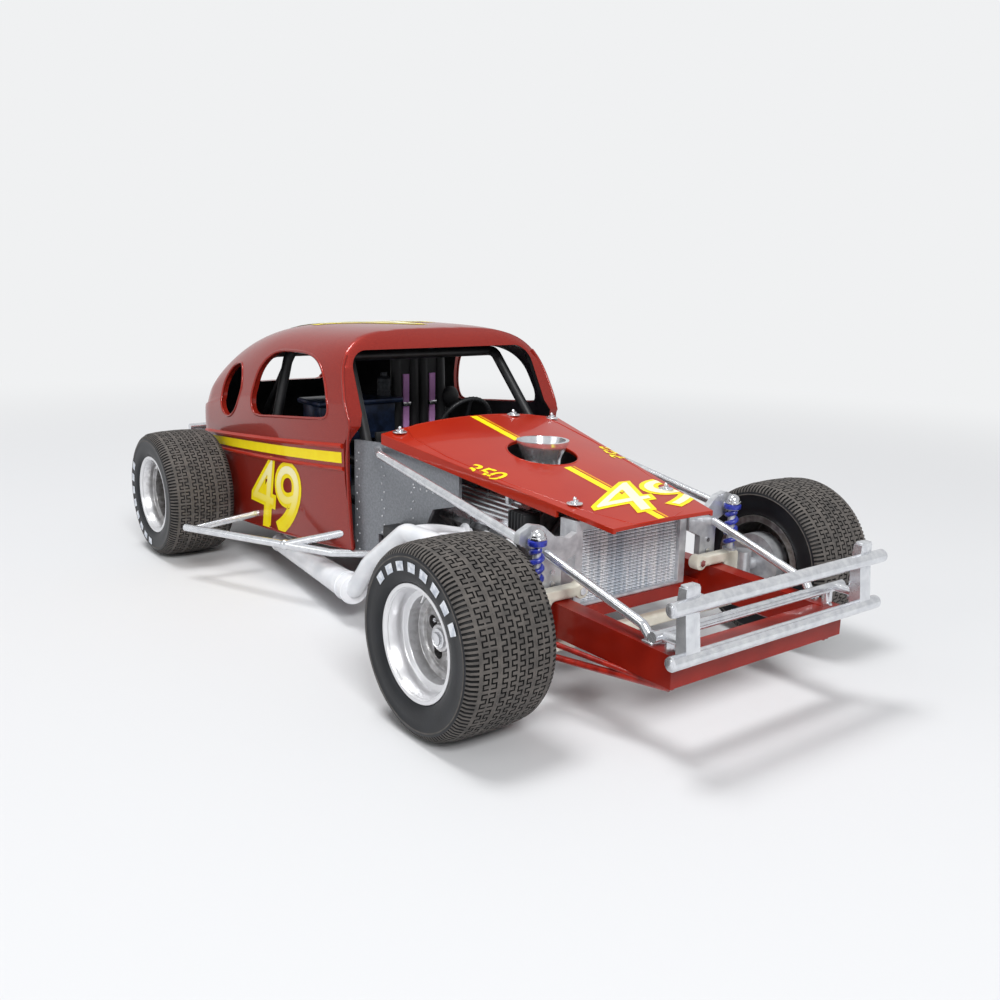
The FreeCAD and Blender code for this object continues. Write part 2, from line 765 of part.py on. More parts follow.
# Hood: a sheet that is flat at the nose and crowned at the cowl, with folded
# sides and a round hole for the intake

def hood_half(station):
    """Half width of the hood at a station."""
    share = (station + size("hood_front")) / (size("hood_rear") + size("hood_front"))
    return size("hood_front_half") + share * (size("hood_rear_half") - size("hood_front_half"))


def hood_top(station):
    """Height of the hood on the centre line."""
    share = (station + size("hood_front")) / (size("hood_rear") + size("hood_front"))
    return size("hood_front_top") + share * (size("hood_rear_top") - size("hood_front_top"))


def hood_crown(station):
    share = (station + size("hood_front")) / (size("hood_rear") + size("hood_front"))
    return size("hood_front_crown") + share * (size("hood_rear_crown") - size("hood_front_crown"))


def hood_section(station, flange):
    """Cross-section of the hood sheet, as a channel open at the bottom."""
    half = hood_half(station)
    top = hood_top(station)
    edge = top - hood_crown(station)
    sheet_depth = size("hood_thickness")
    inner = half - sheet_depth
    outer_left = Vector(-half, station, edge)
    outer_right = Vector(half, station, edge)
    inner_right = Vector(inner, station, edge - sheet_depth)
    inner_left = Vector(-inner, station, edge - sheet_depth)
    low_right = Vector(half, station, edge - sheet_depth - flange)
    low_left = Vector(-half, station, edge - sheet_depth - flange)
    foot_right = Vector(inner, station, edge - sheet_depth - flange)
    foot_left = Vector(-inner, station, edge - sheet_depth - flange)
    crown = Part.Arc(outer_left, Vector(0, station, top), outer_right).toShape()
    under = Part.Arc(inner_right, Vector(0, station, top - sheet_depth), inner_left).toShape()
    edges = [
        crown,
        Part.makeLine(outer_right, low_right),
        Part.makeLine(low_right, foot_right),
        Part.makeLine(foot_right, inner_right),
        under,
        Part.makeLine(inner_left, foot_left),
        Part.makeLine(foot_left, low_left),
        Part.makeLine(low_left, outer_left),
    ]
    return Part.Wire(edges)


nose = Part.makeLoft([hood_section(-size("hood_front"), 0.25), hood_section(size("flange_start"), 0.25)],
                     True, True)
main_sheet = Part.makeLoft([hood_section(size("flange_start"), size("flange_depth")),
                            hood_section(size("hood_rear"), size("flange_depth"))], True, True)
scoop_hole = Part.makeCylinder(size("scoop_radius"), 40, Vector(0, size("scoop_station"), 10))
set_piece("hood", joined([nose, main_sheet]).cut(scoop_hole))


# Body shell: a loft of sections whose lower sides are straight and whose roof
# is a flattened arch, hollowed and opened afterwards

SQUARE_POWER = 4.2
TAIL_POWER = 2.45
SQUARE_UNTIL = 84
ARCH_POINTS = 20


def body_half(station):
    """Half width of the body, which rounds in at the tail."""
    widest = size("body_widest")
    middle = size("body_half_middle")
    if station < widest:
        share = (widest - station) / (widest - size("body_front"))
        return middle - size("front_narrowing") * share ** 2
    start = size("tail_round_start")
    share = min((station - widest) / (start - widest), 1)
    half = middle - size("rear_narrowing") * share ** 2
    if station > start:
        share = (station - start) / (size("body_tail") - start)
        half = half * (1 - share ** 2.4) ** (1 / 2.2)
    return half


def roof_top(station):
    """Height of the roof on the centre line."""
    peak = size("roof_peak_station")
    if station < peak:
        share = (peak - station) / (peak - size("body_front"))
        return size("roof_height") - size("brow_drop") * share ** 2.6
    share = (station - peak) / (size("body_tail") - peak)
    drop = size("roof_tail_drop")
    return size("roof_height") - drop * (1 - (1 - share ** 2.8) ** 0.62)


def belt_height(station):
    share = (station - size("body_front")) / (size("tail_round_start") - size("body_front"))
    front = worked(BELT_FRONT)
    return front + share * (worked(BELT_REAR) - front)


def arch_power(station):
    """How square the roof's arch is, softer towards the tail."""
    share = max(station - SQUARE_UNTIL, 0) / (size("body_tail") - SQUARE_UNTIL)
    return SQUARE_POWER - (SQUARE_POWER - TAIL_POWER) * min(share, 1)


def sill_height(station):
    share = (station - size("body_front")) / (size("wheelbase") - size("body_front"))
    return size("sill_front") + min(share, 1) * (size("sill_rear") - size("sill_front"))


def body_section(station, inset, lower, lead):
    """Closed cross-section of the body, set in by a wall and lowered at its foot."""
    half = body_half(station + lead) - inset
    top = roof_top(station + lead) - inset
    belt = min(belt_height(station), top - 1.5)
    foot = sill_height(station) - lower
    foot_half = half - min(size("sill_tuck"), 0.1 * half)
    rise = top - belt
    lean = size("side_lean") * min(half / size("body_half_middle"), 1)
    power = arch_power(station)
    arch = []
    for number in range(ARCH_POINTS + 1):
        angle = math.pi * number / ARCH_POINTS
        across = math.copysign(abs(math.cos(angle)) ** (2 / power), math.cos(angle))
        up = abs(math.sin(angle)) ** (2 / power) if 0 < number < ARCH_POINTS else 0
        arch.append(Vector((half - lean * up) * across, station, belt + rise * up))
    curve = Part.BSplineCurve()
    curve.interpolate(Points=arch, InitialTangent=Vector(0, 0, 1), FinalTangent=Vector(0, 0, -1))
    right_foot = Vector(-foot_half, station, foot)
    left_foot = Vector(foot_half, station, foot)
    return Part.Wire([
        Part.makeLine(right_foot, left_foot),
        Part.makeLine(left_foot, arch[0]),
        curve.toShape(),
        Part.makeLine(arch[-1], right_foot),
    ])


def body_loft(inset, lower, lead, back):
    """Solid through the body's sections."""
    start = size("body_front") - 6
    long_stretch = size("tail_round_start") - start
    stations = [start + long_stretch * step / 8 for step in range(9)]
    tail = size("body_tail") - back - size("tail_round_start")
    stations += [size("tail_round_start") + tail * share for share in (0.3, 0.55, 0.75, 0.9, 0.975)]
    sections = [body_section(station, inset, lower, lead if station > 80 else 0)
                for station in stations]
    return Part.makeLoft(sections, True, False)


def front_block(setback):
    """Everything ahead of the door posts and of the raked windshield."""
    foot = size("pillar_foot_station") + setback
    top = size("pillar_top_station") + setback
    post = size("body_front") + setback
    belt = worked(BELT_FRONT)
    slope = (top - foot) / (size("roof_height") - 2 - belt)
    points = [
        Vector(-60, 0, -20),
        Vector(-60, post - size("foot_lead"), -20),
        Vector(-60, post - size("foot_lead"), size("sill_front")),
        Vector(-60, post, belt - 9),
        Vector(-60, post, belt - 2.6),
        Vector(-60, foot, belt + 1),
        Vector(-60, foot + slope * 30, belt + 31),
        Vector(-60, 0, belt + 31),
    ]
    return Part.Face(Part.makePolygon(points + [points[0]])).extrude(Vector(120, 0, 0))


def along_x(points, reach):
    """Prism across the car from an outline in side view."""
    corners = [Vector(-reach, y, z) for y, z in points]
    return Part.Face(Part.makePolygon(corners + [corners[0]])).extrude(Vector(2 * reach, 0, 0))


def along_y(points, start, stop):
    """Prism along the car from an outline in front view."""
    corners = [Vector(x, start, z) for x, z in points]
    return Part.Face(Part.makePolygon(corners + [corners[0]])).extrude(Vector(0, stop - start, 0))


def rounded(prism, axis, radius):
    """Fillet a prism's long edges."""
    edges = [edge for edge in prism.Edges
             if abs(abs(edge.tangentAt(edge.FirstParameter).dot(axis)) - 1) < 1e-6]
    return prism.makeFillet(radius, edges)


def smooth_opening(points):
    """Prism across the car from a smooth closed line in side view."""
    line = Part.BSplineCurve()
    line.interpolate(Points=[Vector(-60, y, z) for y, z in points], PeriodicFlag=True)
    return Part.Face(Part.Wire([line.toShape()])).extrude(Vector(120, 0, 0))


wall = size("body_wall")
outer = body_loft(0, 0, 0, 0.4).cut(front_block(0))
inner = body_loft(wall, 8, 1.0, 0.4 + wall).cut(front_block(wall))
shell = outer.cut(inner)

belt = worked(BELT_FRONT)
post_half = worked(BODY_FRONT_HALF) - size("post_flange")
face_half = size("body_half_middle") - size("pillar_face")
header_half = size("body_half_middle") - size("pillar_face_top")
header_height = size("roof_height") - size("brow_depth")
windshield = along_y([
    (-post_half, -5),
    (-post_half, belt - 1.5),
    (-face_half, belt + 3.0),
    (-header_half, header_height),
    (header_half, header_height),
    (face_half, belt + 3.0),
    (post_half, belt - 1.5),
    (post_half, -5),
], 30, 66)
top_edges = [edge for edge in windshield.Edges
             if abs(edge.tangentAt(0).y) > 0.999 and edge.CenterOfMass.z > belt + 6]
windshield = windshield.makeFillet(3.6, top_edges)

lintel = size("roof_height") - size("roof_side_depth")
sill = belt + 1.4
door_window = smooth_opening([
    (58.6, sill),
    (65.0, sill - 0.6),
    (72.0, sill - 1.3),
    (78.0, sill - 1.85),
    (84.2, sill - 2.4),
    (86.2, sill - 1.8),
    (87.0, sill),
    (86.8, sill + 2.8),
    (85.6, lintel - 4.9),
    (83.0, lintel - 2.0),
    (79.0, lintel - 0.3),
    (73.0, lintel + 0.2),
    (66.0, lintel + 0.1),
    (61.8, lintel - 1.1),
    (59.0, lintel - 3.4),
    (57.2, lintel - 6.5),
    (56.2, sill + 2.0),
    (56.6, sill + 0.6),
])
quarter_window = smooth_opening([
    (98.2, lintel - 4.1),
    (95.6, lintel - 4.4),
    (93.9, lintel - 6.1),
    (93.2, lintel - 8.9),
    (94.2, lintel - 11.9),
    (96.6, lintel - 14.4),
    (99.6, lintel - 15.6),
    (102.6, lintel - 15.0),
    (104.3, lintel - 12.7),
    (104.6, lintel - 9.9),
    (103.3, lintel - 7.1),
    (101.0, lintel - 5.0),
])
rear_window = rounded(along_y([
    (-9.5, belt + 1.0),
    (9.5, belt + 1.0),
    (8.6, belt + 7.5),
    (-8.6, belt + 7.5),
], 104, 140), Vector(0, 1, 0), 1.8)
arch = Part.makeCylinder(size("arch_radius"), 120, Vector(-60, size("wheelbase"), size("rear_tyre_radius")),
                         Vector(1, 0, 0))
arch_foot = along_x([
    (size("wheelbase") - size("arch_radius"), -5),
    (size("wheelbase") + size("arch_radius"), -5),
    (size("wheelbase") + size("arch_radius"), size("rear_tyre_radius")),
    (size("wheelbase") - size("arch_radius"), size("rear_tyre_radius")),
], 60)
tail_opening = along_x([
    (size("tail_opening_station"), -5),
    (140, -5),
    (140, size("tail_opening_top")),
    (size("tail_opening_station"), size("tail_opening_top")),
], 60)
for opening in (windshield, door_window, quarter_window, rear_window, arch, arch_foot, tail_opening):
    shell = shell.cut(opening)
set_piece("body_shell", shell)

# Floor and rear tub

INSIDE = "Sizes.body_wall - Sizes.sill_tuck - 0.3"
FLOOR_NOSE_HALF = BODY_FRONT_HALF + " - 3.1"
FLOOR_LOW = "Sizes.cabin_rail_top + Sizes.seat_gap"
floor = new_body("floor_pan")
pad(floor, "XY_Plane", FLOOR_LOW, FLOOR_LOW + " + Sizes.floor_thickness", both_sides([
    ("-(%s - 1.7)" % FLOOR_NOSE_HALF, "Sizes.floor_front"),
    ("-(%s)" % FLOOR_NOSE_HALF, "Sizes.body_front - 0.2"),
    ("-(%s - %s)" % (BODY_FRONT_HALF, INSIDE), "Sizes.body_front + 1.5"),
    ("-(Sizes.body_half_middle - %s)" % INSIDE, "Sizes.body_widest"),
    ("-(Sizes.body_half_middle - 0.3 - %s)" % INSIDE, "Sizes.floor_rear"),
]))

tub = new_body("rear_tub")
TUB_FOOT = FLOOR_LOW
DECK_LOW = "Sizes.kick_top + Sizes.seat_gap"
TUB_HALF = BODY_REAR_HALF + " - Sizes.body_wall - Sizes.sill_tuck - Sizes.deck_clearance"
pad(tub, "YZ_Plane", "-(%s)" % TUB_HALF, TUB_HALF, [
    ("Sizes.floor_rear + 0.1", TUB_FOOT),
    ("Sizes.floor_rear + 0.1 + Sizes.tub_thickness", TUB_FOOT),
    ("Sizes.floor_rear + 3.4 + Sizes.tub_thickness", DECK_LOW),
    ("Sizes.floor_rear + 6 + Sizes.tub_thickness", DECK_LOW),
    ("Sizes.floor_rear + 6 + Sizes.tub_thickness", DECK_LOW + " + Sizes.tub_thickness"),
    ("Sizes.floor_rear + 3.1", DECK_LOW + " + Sizes.tub_thickness"),
])
pad(tub, "XY_Plane", DECK_LOW, DECK_LOW + " + Sizes.tub_thickness", both_sides([
    ("-(%s)" % TUB_HALF, "Sizes.floor_rear + 6"),
    ("-(%s)" % TUB_HALF, "Sizes.tail_round_start + 2"),
    ("-(%s) + 1.9" % TUB_HALF, "Sizes.tail_opening_station - 2.2"),
    ("-(%s) + 3.9" % TUB_HALF, "Sizes.tail_opening_station + 0.3"),
    ("-(%s) + Sizes.deck_corner" % BODY_REAR_HALF, "Sizes.tail_opening_station + 0.4"),
    ("-(%s) + Sizes.deck_corner" % BODY_REAR_HALF, "Sizes.deck_rear"),
]))

# Firewall and riveted cowl side panels

firewall = new_body("firewall")
pad(firewall, "XZ_Plane", "Sizes.firewall_station", "Sizes.firewall_station + Sizes.firewall_thickness", [
    ("-Sizes.firewall_half", FLOOR_LOW),
    ("Sizes.firewall_half", FLOOR_LOW),
    ("Sizes.firewall_half", BELT_FRONT + " - Sizes.firewall_drop"),
    ("-Sizes.firewall_half", BELT_FRONT + " - Sizes.firewall_drop"),
])
COWL_PLAN = [
    ("-19.6", "44.4"),
    ("-(%s) + 2.2" % BODY_FRONT_HALF, "Sizes.body_front - 0.2"),
    ("-(%s) + 2.8" % BODY_FRONT_HALF, "Sizes.body_front - 0.2"),
    ("-19.0", "44.4"),
    ("-15.6", "27"),
    ("-16.2", "27"),
]
COWL_SIDE = [
    ("46.2", "10.8"),
    ("52.3", "10.8"),
    ("52.3", "5"),
    ("20", "5"),
    ("20", "24"),
    ("27", "24"),
    ("33", "22.4"),
    ("36.5", "Sizes.rail_top + 0.2"),
    ("46.2", "Sizes.rail_top + 0.2"),
]
COWL_CROWN = [
    ("20", "28.2"),
    ("44.4", "32.3"),
    ("60", "32.3"),
    ("60", "40"),
    ("20", "40"),
]
for side, plan in (("right", COWL_PLAN), ("left", mirrored_corners(COWL_PLAN))):
    panel = new_body("cowl_panel_" + side)
    pad(panel, "XY_Plane", "10.8", "36", plan)
    for cut_away in (COWL_SIDE, COWL_CROWN):
        pocket(panel, "YZ_Plane", "-40", "40", cut_away)


# Roll cage: main hoop, two windshield bars with the roof rails, and cross bars

def make_cage():
    radius = size("cage_radius")
    hoop_y = size("hoop_station")
    foot = size("cabin_rail_top") + size("seat_gap") + size("floor_thickness")
    half = worked(HOOP_HALF)
    top = worked(HOOP_TOP)
    top_half = half - size("hoop_lean")
    a_half = half - size("a_bar_inset")
    a_y = size("a_bar_station")
    dash = worked(BELT_FRONT) - 3
    corner_y = size("pillar_top_station") + 5
    hoop = bent_tube([
        Vector(-half, hoop_y, foot),
        Vector(-half, hoop_y, dash),
        Vector(-top_half, hoop_y, top),
        Vector(top_half, hoop_y, top),
        Vector(half, hoop_y, dash),
        Vector(half, hoop_y, foot),
    ], 3.2, radius)
    pieces = [hoop]
    for sign in (-1, 1):
        pieces.append(bent_tube([
            Vector(sign * top_half, hoop_y, top),
            Vector(sign * top_half, corner_y, top),
            Vector(sign * a_half, a_y, dash),
            Vector(sign * a_half, a_y, foot),
        ], 2.4, radius))
        for height in (20, 27.5):
            pieces.append(rod(Vector(sign * a_half, a_y, height), Vector(sign * half, hoop_y, height),
                              radius * 0.85))
        pieces.append(rod(Vector(sign * (top_half - 1), hoop_y, top), Vector(sign * 13, 114, 23.5),
                          radius * 0.85))
    pieces.append(rod(Vector(-top_half, corner_y + 1.2, top), Vector(top_half, corner_y + 1.2, top),
                      radius * 0.9))
    pieces.append(rod(Vector(-a_half, a_y, dash - 1), Vector(a_half, a_y, dash - 1), radius * 0.9))
    pieces.append(rod(Vector(-half, hoop_y, 20), Vector(half, hoop_y, 20), radius * 0.85))
    cage = joined(pieces)
    deck_top = size("kick_top") + size("seat_gap") + size("tub_thickness")
    below_deck = Part.makeBox(80, 60, 20, Vector(-40, hoop_y + 8, deck_top - 20))
    return cage.cut(below_deck)


set_piece("roll_cage", make_cage())

# Driver's seat with side bolsters and head support

seat = new_body("seat")
FLOOR_TOP = FLOOR_LOW + " + Sizes.floor_thickness"
SEAT_LEFT = SEAT_CENTRE + " + Sizes.seat_half"
SEAT_RIGHT = SEAT_CENTRE + " - Sizes.seat_half"
BACK_REAR = "Sizes.seat_back_front + Sizes.seat_back_depth"
pad(seat, "XZ_Plane", "Sizes.seat_front", BACK_REAR, [
    (SEAT_RIGHT, FLOOR_TOP),
    (SEAT_LEFT, FLOOR_TOP),
    (SEAT_LEFT, "23.5"),
    (SEAT_LEFT + " - 1.1", "23.5"),
    (SEAT_LEFT + " - 1.7", "Sizes.seat_cushion_top"),
    (SEAT_RIGHT + " + 1.7", "Sizes.seat_cushion_top"),
    (SEAT_RIGHT + " + 1.1", "23.5"),
    (SEAT_RIGHT, "23.5"),
])
pad(seat, "XZ_Plane", "Sizes.seat_back_front", BACK_REAR, [
    (SEAT_RIGHT, "16"),
    (SEAT_LEFT, "16"),
    (SEAT_LEFT + " + 1.0", SEAT_TOP + " - 10"),
    (SEAT_LEFT + " - 0.4", SEAT_TOP + " - 6.5"),
    (SEAT_LEFT + " - 2.0", SEAT_TOP + " - 5.6"),
    (SEAT_LEFT + " - 2.0", SEAT_TOP),
    (SEAT_RIGHT + " + 2.0", SEAT_TOP),
    (SEAT_RIGHT + " + 2.0", SEAT_TOP + " - 5.6"),
    (SEAT_RIGHT + " + 0.4", SEAT_TOP + " - 6.5"),
    (SEAT_RIGHT + " - 1.0", SEAT_TOP + " - 10"),
])

# Shoulder and lap belts lying on the seat


def belt_block(x_low, x_high, y_low, y_high, z_low, z_high):
    return Part.makeBox(x_high - x_low, y_high - y_low, z_high - z_low, Vector(x_low, y_low, z_low))


def make_harness():
    thick = size("belt_thickness")
    half = size("belt_width") / 2
    face = size("seat_back_front") - 0.05
    cushion = size("seat_cushion_top") + 0.05
    pieces = []
    for sign in (-1, 1):
        x = worked(SEAT_CENTRE) + sign * size("belt_spread")
        pieces.append(belt_block(x - half, x + half, face - thick, face, cushion, worked(SEAT_TOP) - 4))
        pieces.append(belt_block(x - half, x + half, face - 5.0, face, cushion, cushion + thick))
    x = worked(SEAT_CENTRE)
    lap = size("seat_half") - 1.8
    pieces.append(belt_block(x - lap, x + lap, face - 6.4, face - 4.9, cushion, cushion + thick))
    return joined(pieces)


set_piece("harness", make_harness())

# Steering wheel and column

STEER_TILT = 22


def make_steering():
    hub = Vector(worked(SEAT_CENTRE) - 0.7, size("steering_station"), size("steering_height"))
    tilt = math.radians(STEER_TILT)
    axis = Vector(0, -math.cos(tilt), -math.sin(tilt))
    rim = Part.makeTorus(size("steering_radius"), size("steering_rim"), hub, axis)
    pieces = [rim]
    side = Vector(1, 0, 0)
    up = axis.cross(side)
    for angle in (90, 210, 330):
        spoke = math.radians(angle)
        tip = hub + (side * math.cos(spoke) + up * math.sin(spoke)) * size("steering_radius")
        pieces.append(rod(hub, tip, 0.35))
    pieces.append(rod(hub - axis * 0.6, hub + axis * 0.6, 1.2))
    wheel = joined(pieces)
    reach = (size("steering_station") - size("firewall_station") - size("firewall_thickness") - 0.1)
    foot = hub + axis * (reach / math.cos(tilt))
    column = rod(hub + axis * 0.6, foot + axis * 1.0, 0.6)
    firewall_back = size("firewall_station") + size("firewall_thickness")
    ahead = Part.makeBox(60, 10, 60, Vector(-30, firewall_back - 9.9, 0))
    return wheel, column.cut(ahead)


steering_wheel, steering_column = make_steering()
set_piece("steering_wheel", steering_wheel)
set_piece("steering_column", steering_column)

# Engine: vee block, heads, valve covers, manifold and intake stack

DECK_RUN = (
    "(Sizes.deck_low_half - Sizes.deck_high_half)",
    "(Sizes.deck_high_height - Sizes.deck_low_height)",
)
DECK_SPAN = "sqrt(%s ^ 2 + %s ^ 2)" % DECK_RUN
OUT_X = "%s / %s" % (DECK_RUN[1], DECK_SPAN)
OUT_Z = "%s / %s" % (DECK_RUN[0], DECK_SPAN)

engine = new_body("engine_block")
pad(engine, "XZ_Plane", "Sizes.engine_front", "Sizes.engine_rear", both_sides([
    ("-4.4", "Sizes.sump_bottom"),
    ("-5.2", "12.6"),
    ("-8.0", "14.0"),
    ("-Sizes.deck_low_half", "Sizes.deck_low_height"),
    ("-Sizes.deck_high_half", "Sizes.deck_high_height"),
    ("-3.2", "21.4"),
]))
pad(engine, "XZ_Plane", "Sizes.engine_front + 1", "Sizes.engine_front + 2.2", [
    ("-Sizes.rail_inner + Sizes.seat_gap", "11.2"),
    ("Sizes.rail_inner - Sizes.seat_gap", "11.2"),
    ("Sizes.rail_inner - Sizes.seat_gap", "14.6"),
    ("-Sizes.rail_inner + Sizes.seat_gap", "14.6"),
])


def deck_point(sign, slide, lift):
    """Corner on one cylinder bank, slid along its deck and lifted off it."""
    x = "Sizes.deck_low_half - %s * %s + (%s) * %s" % (slide, DECK_RUN[0], lift, OUT_X)
    z = "Sizes.deck_low_height + %s * %s + (%s) * %s" % (slide, DECK_RUN[1], lift, OUT_Z)
    return ("%s(%s)" % (sign, x), z)


for side, sign in (("right", "-"), ("left", "")):
    head = new_body("cylinder_head_" + side)
    pad(head, "XZ_Plane", "Sizes.engine_front + 0.6", "Sizes.engine_rear - 0.8", [
        deck_point(sign, "0.02", "0.05"),
        deck_point(sign, "0.98", "0.05"),
        deck_point(sign, "0.9", "Sizes.head_height"),
        deck_point(sign, "0.06", "Sizes.head_height"),
    ])
    cover = new_body("valve_cover_" + side)
    lift = "Sizes.head_height + 0.05"
    pad(cover, "XZ_Plane", "Sizes.engine_front + 1.2", "Sizes.engine_rear - 1.6", [
        deck_point(sign, "0.16", lift),
        deck_point(sign, "0.82", lift),
        deck_point(sign, "0.76", lift + " + Sizes.cover_height"),
        deck_point(sign, "0.3", lift + " + Sizes.cover_height"),
    ])

manifold = new_body("intake_manifold")
pad(manifold, "XZ_Plane", "Sizes.engine_front + 3", "Sizes.engine_rear - 4", both_sides([
    ("-3.1", "21.6"),
    ("-5.0", "23.8"),
    ("-4.2", "25.2"),
    ("-2.0", "25.6"),
]))
pad(manifold, "XY_Plane", "25", "Sizes.carburettor_top", circles=[
    ("0", "Sizes.scoop_station", "Sizes.stack_throat + 0.5")])

stack = new_body("velocity_stack")
sketch = sketch_on(stack, "XZ_Plane", "-Sizes.scoop_station")
STACK_FOOT = "Sizes.carburettor_top + 0.05"
add_outline(sketch, [
    ("Sizes.stack_throat - 0.5", STACK_FOOT),
    ("Sizes.stack_throat + 0.5", STACK_FOOT),
    ("Sizes.stack_throat", STACK_FOOT + " + 0.8"),
    ("Sizes.stack_throat + 0.1", STACK_FOOT + " + 2.4"),
    ("Sizes.stack_radius", "Sizes.stack_top - 0.5"),
    ("Sizes.stack_radius + 0.1", "Sizes.stack_top"),
    ("Sizes.stack_radius - 0.5", "Sizes.stack_top"),
    ("Sizes.stack_throat - 0.4", STACK_FOOT + " + 2.2"),
])
turned = stack.newObject("PartDesign::Revolution", "velocity_stack_turned")
turned.Profile = sketch
turned.ReferenceAxis = (sketch, ["V_Axis"])
turned.Angle = 360

# Gearbox under the floor and the shaft to the rear axle

gearbox = doc.addObject("Part::MultiFuse", "gearbox")
bell = doc.addObject("Part::Cone", "gearbox_bell")
bell.Placement = Placement(Vector(0, 0, 0), Rotation(Vector(1, 0, 0), -90))
bell.Radius1 = 5.6
bell.Radius2 = 3.2
bell.setExpression("Height", "Sizes.firewall_station - Sizes.engine_rear - 0.2")
bell.setExpression("Placement.Base.y", "Sizes.engine_rear + 0.05")
bell.setExpression("Placement.Base.z", "Sizes.sump_bottom + 5")
case = doc.addObject("Part::Box", "gearbox_case")
case.Length = 5.6
case.setExpression("Width", "Sizes.gearbox_rear - Sizes.firewall_station + 2")
case.setExpression("Height", "Sizes.cabin_rail_top - Sizes.rail_bottom + 0.5")
case.Placement = Placement(Vector(-2.8, 0, 0), Rotation())
case.setExpression("Placement.Base.y", "Sizes.firewall_station - 2")
case.setExpression("Placement.Base.z", "Sizes.rail_bottom - 0.6")
gearbox.Shapes = [bell, case]
gearbox.Label = "gearbox"
gearbox.setExpression("Placement.Base.y", CAR_STATION)

driveshaft = doc.addObject("Part::Cylinder", "driveshaft")
driveshaft.Label = "driveshaft"
driveshaft.Radius = 0.9
driveshaft.Placement = Placement(Vector(0, 0, 0), Rotation(Vector(1, 0, 0), -90))
driveshaft.setExpression("Height", "Sizes.wheelbase - Sizes.diff_radius - 3.1 - Sizes.gearbox_rear")
driveshaft.setExpression("Placement.Base.y", "Sizes.gearbox_rear + 0.05 + " + CAR_STATION)
driveshaft.setExpression("Placement.Base.z", "Sizes.shaft_height")


# Rear axle: tube with perches, quick-change centre, drums and wheel spindles

def make_rear_axle():
    y = size("wheelbase")
    z = size("rear_tyre_radius")
    tube_end = worked(WHEEL_INNER["rear"]) - size("drum_width")
    tip = worked(WHEEL_INNER["rear"]) + size("rear_tyre_width") / 2 + 0.6
    pieces = [rod(Vector(-tube_end, y, z), Vector(tube_end, y, z), size("axle_tube_radius"))]
    pieces.append(rod(Vector(-tip, y, z), Vector(tip, y, z), size("spindle_radius")))
    for sign in (-1, 1):
        drum_end = tube_end + size("drum_width") - 0.3
        pieces.append(rod(Vector(sign * tube_end, y, z), Vector(sign * drum_end, y, z), size("drum_radius")))
        x = sign * worked(REAR_COIL)
        pieces.append(Part.makeBox(3.2, 3.2, 2.2, Vector(x - 1.6, y - 1.6, z)))
    diff = size("diff_radius")
    pieces.append(rod(Vector(0, y - diff, z), Vector(0, y + diff, z), diff))
    nose = Vector(0, y - diff - 3, size("shaft_height"))
    pieces.append(Part.makeCone(1.6, 2.8, 3.2, nose, Vector(0, 1, 0)))
    pieces.append(rod(Vector(-2.8, y, z), Vector(2.8, y, z), diff + 0.6))
    return joined(pieces)


set_piece("rear_axle", make_rear_axle())
rear_coil = coil_over(-worked(REAR_COIL), size("wheelbase"), size("rear_tyre_radius") + 2.2,
                      size("kick_top") + size("seat_gap"), 1.5, 4)
pair_of_pieces("rear_coilover", rear_coil)

arm_x = -(size("rail_outer") + 1.4)
trailing_arm = joined([
    rod(Vector(arm_x, 75, 11.6), Vector(arm_x, size("wheelbase") - 1, 12.6), 0.6),
    rod(Vector(arm_x, 75, 11.6), Vector(-size("rail_outer"), 75, 11.6), 0.7),
])
pair_of_pieces("trailing_arm", trailing_arm.cut(make_rear_axle()))

# Front radius rods from the crossmember out to the axle's ends

axle_face = -size("axle_thickness") / 2
rod_end = worked(LEG_OUTER) - 1.0
front_rods = joined([
    rod(Vector(-16.9, -22.6, 9.3), Vector(-rod_end, axle_face, 8.3), 0.5),
    rod(Vector(-16.9, -22.6, 9.3), Vector(-rod_end, axle_face, 10.6), 0.4),
    rod(Vector(-16.9, -22.6, 9.3), Vector(-16.9, -22.6, size("rail_front_bottom")), 0.7),
])
leg_block = Part.makeBox(60, 20, 30, Vector(-30, axle_face, 0))
rail_block = Part.makeBox(60, 60, 20, Vector(-30, -30, size("rail_front_bottom")))
pair_of_pieces("front_radius_rods", front_rods.cut(leg_block).cut(doc.getObject("frame_rails").Tip.Shape))

# Long side braces from the cowl to the towers, and the braces to the nose

tower_back = size("tower_front") + size("tower_thickness")
brace_line = size("hood_rear_half") + 1.3
side_brace = bent_tube([
    Vector(-brace_line, tower_back, 24.2),
    Vector(-brace_line, 43.2, 30.7),
    Vector(1.4 - brace_line, 46.2, 31.0),
], 1.2, size("side_brace_radius"))
for neighbour in ("cowl_panel_right", "shock_tower_right", "hood"):
    side_brace = side_brace.cut(local_shape(neighbour))
pair_of_pieces("side_brace", max(side_brace.Solids, key=lambda piece: piece.Volume))

rail_slope = (size("rail_top") - size("rail_front_top")) / size("frame_front")
foot_y = -19.8
foot_z = size("rail_top") + rail_slope * foot_y
front_brace = bent_tube([
    Vector(-18.4, size("tower_front"), 22.3),
    Vector(-17.6, -17.9, 17.0),
    Vector(-17.3, foot_y, foot_z),
], 0.9, size("brace_radius"))
plate_block = Part.makeBox(60, 20, 40, Vector(-30, size("tower_front"), 0))
pair_of_pieces("front_brace", front_brace.cut(plate_block).cut(doc.getObject("frame_rails").Tip.Shape))


# Front bumper: two cross tubes on uprights, tied back to the frame

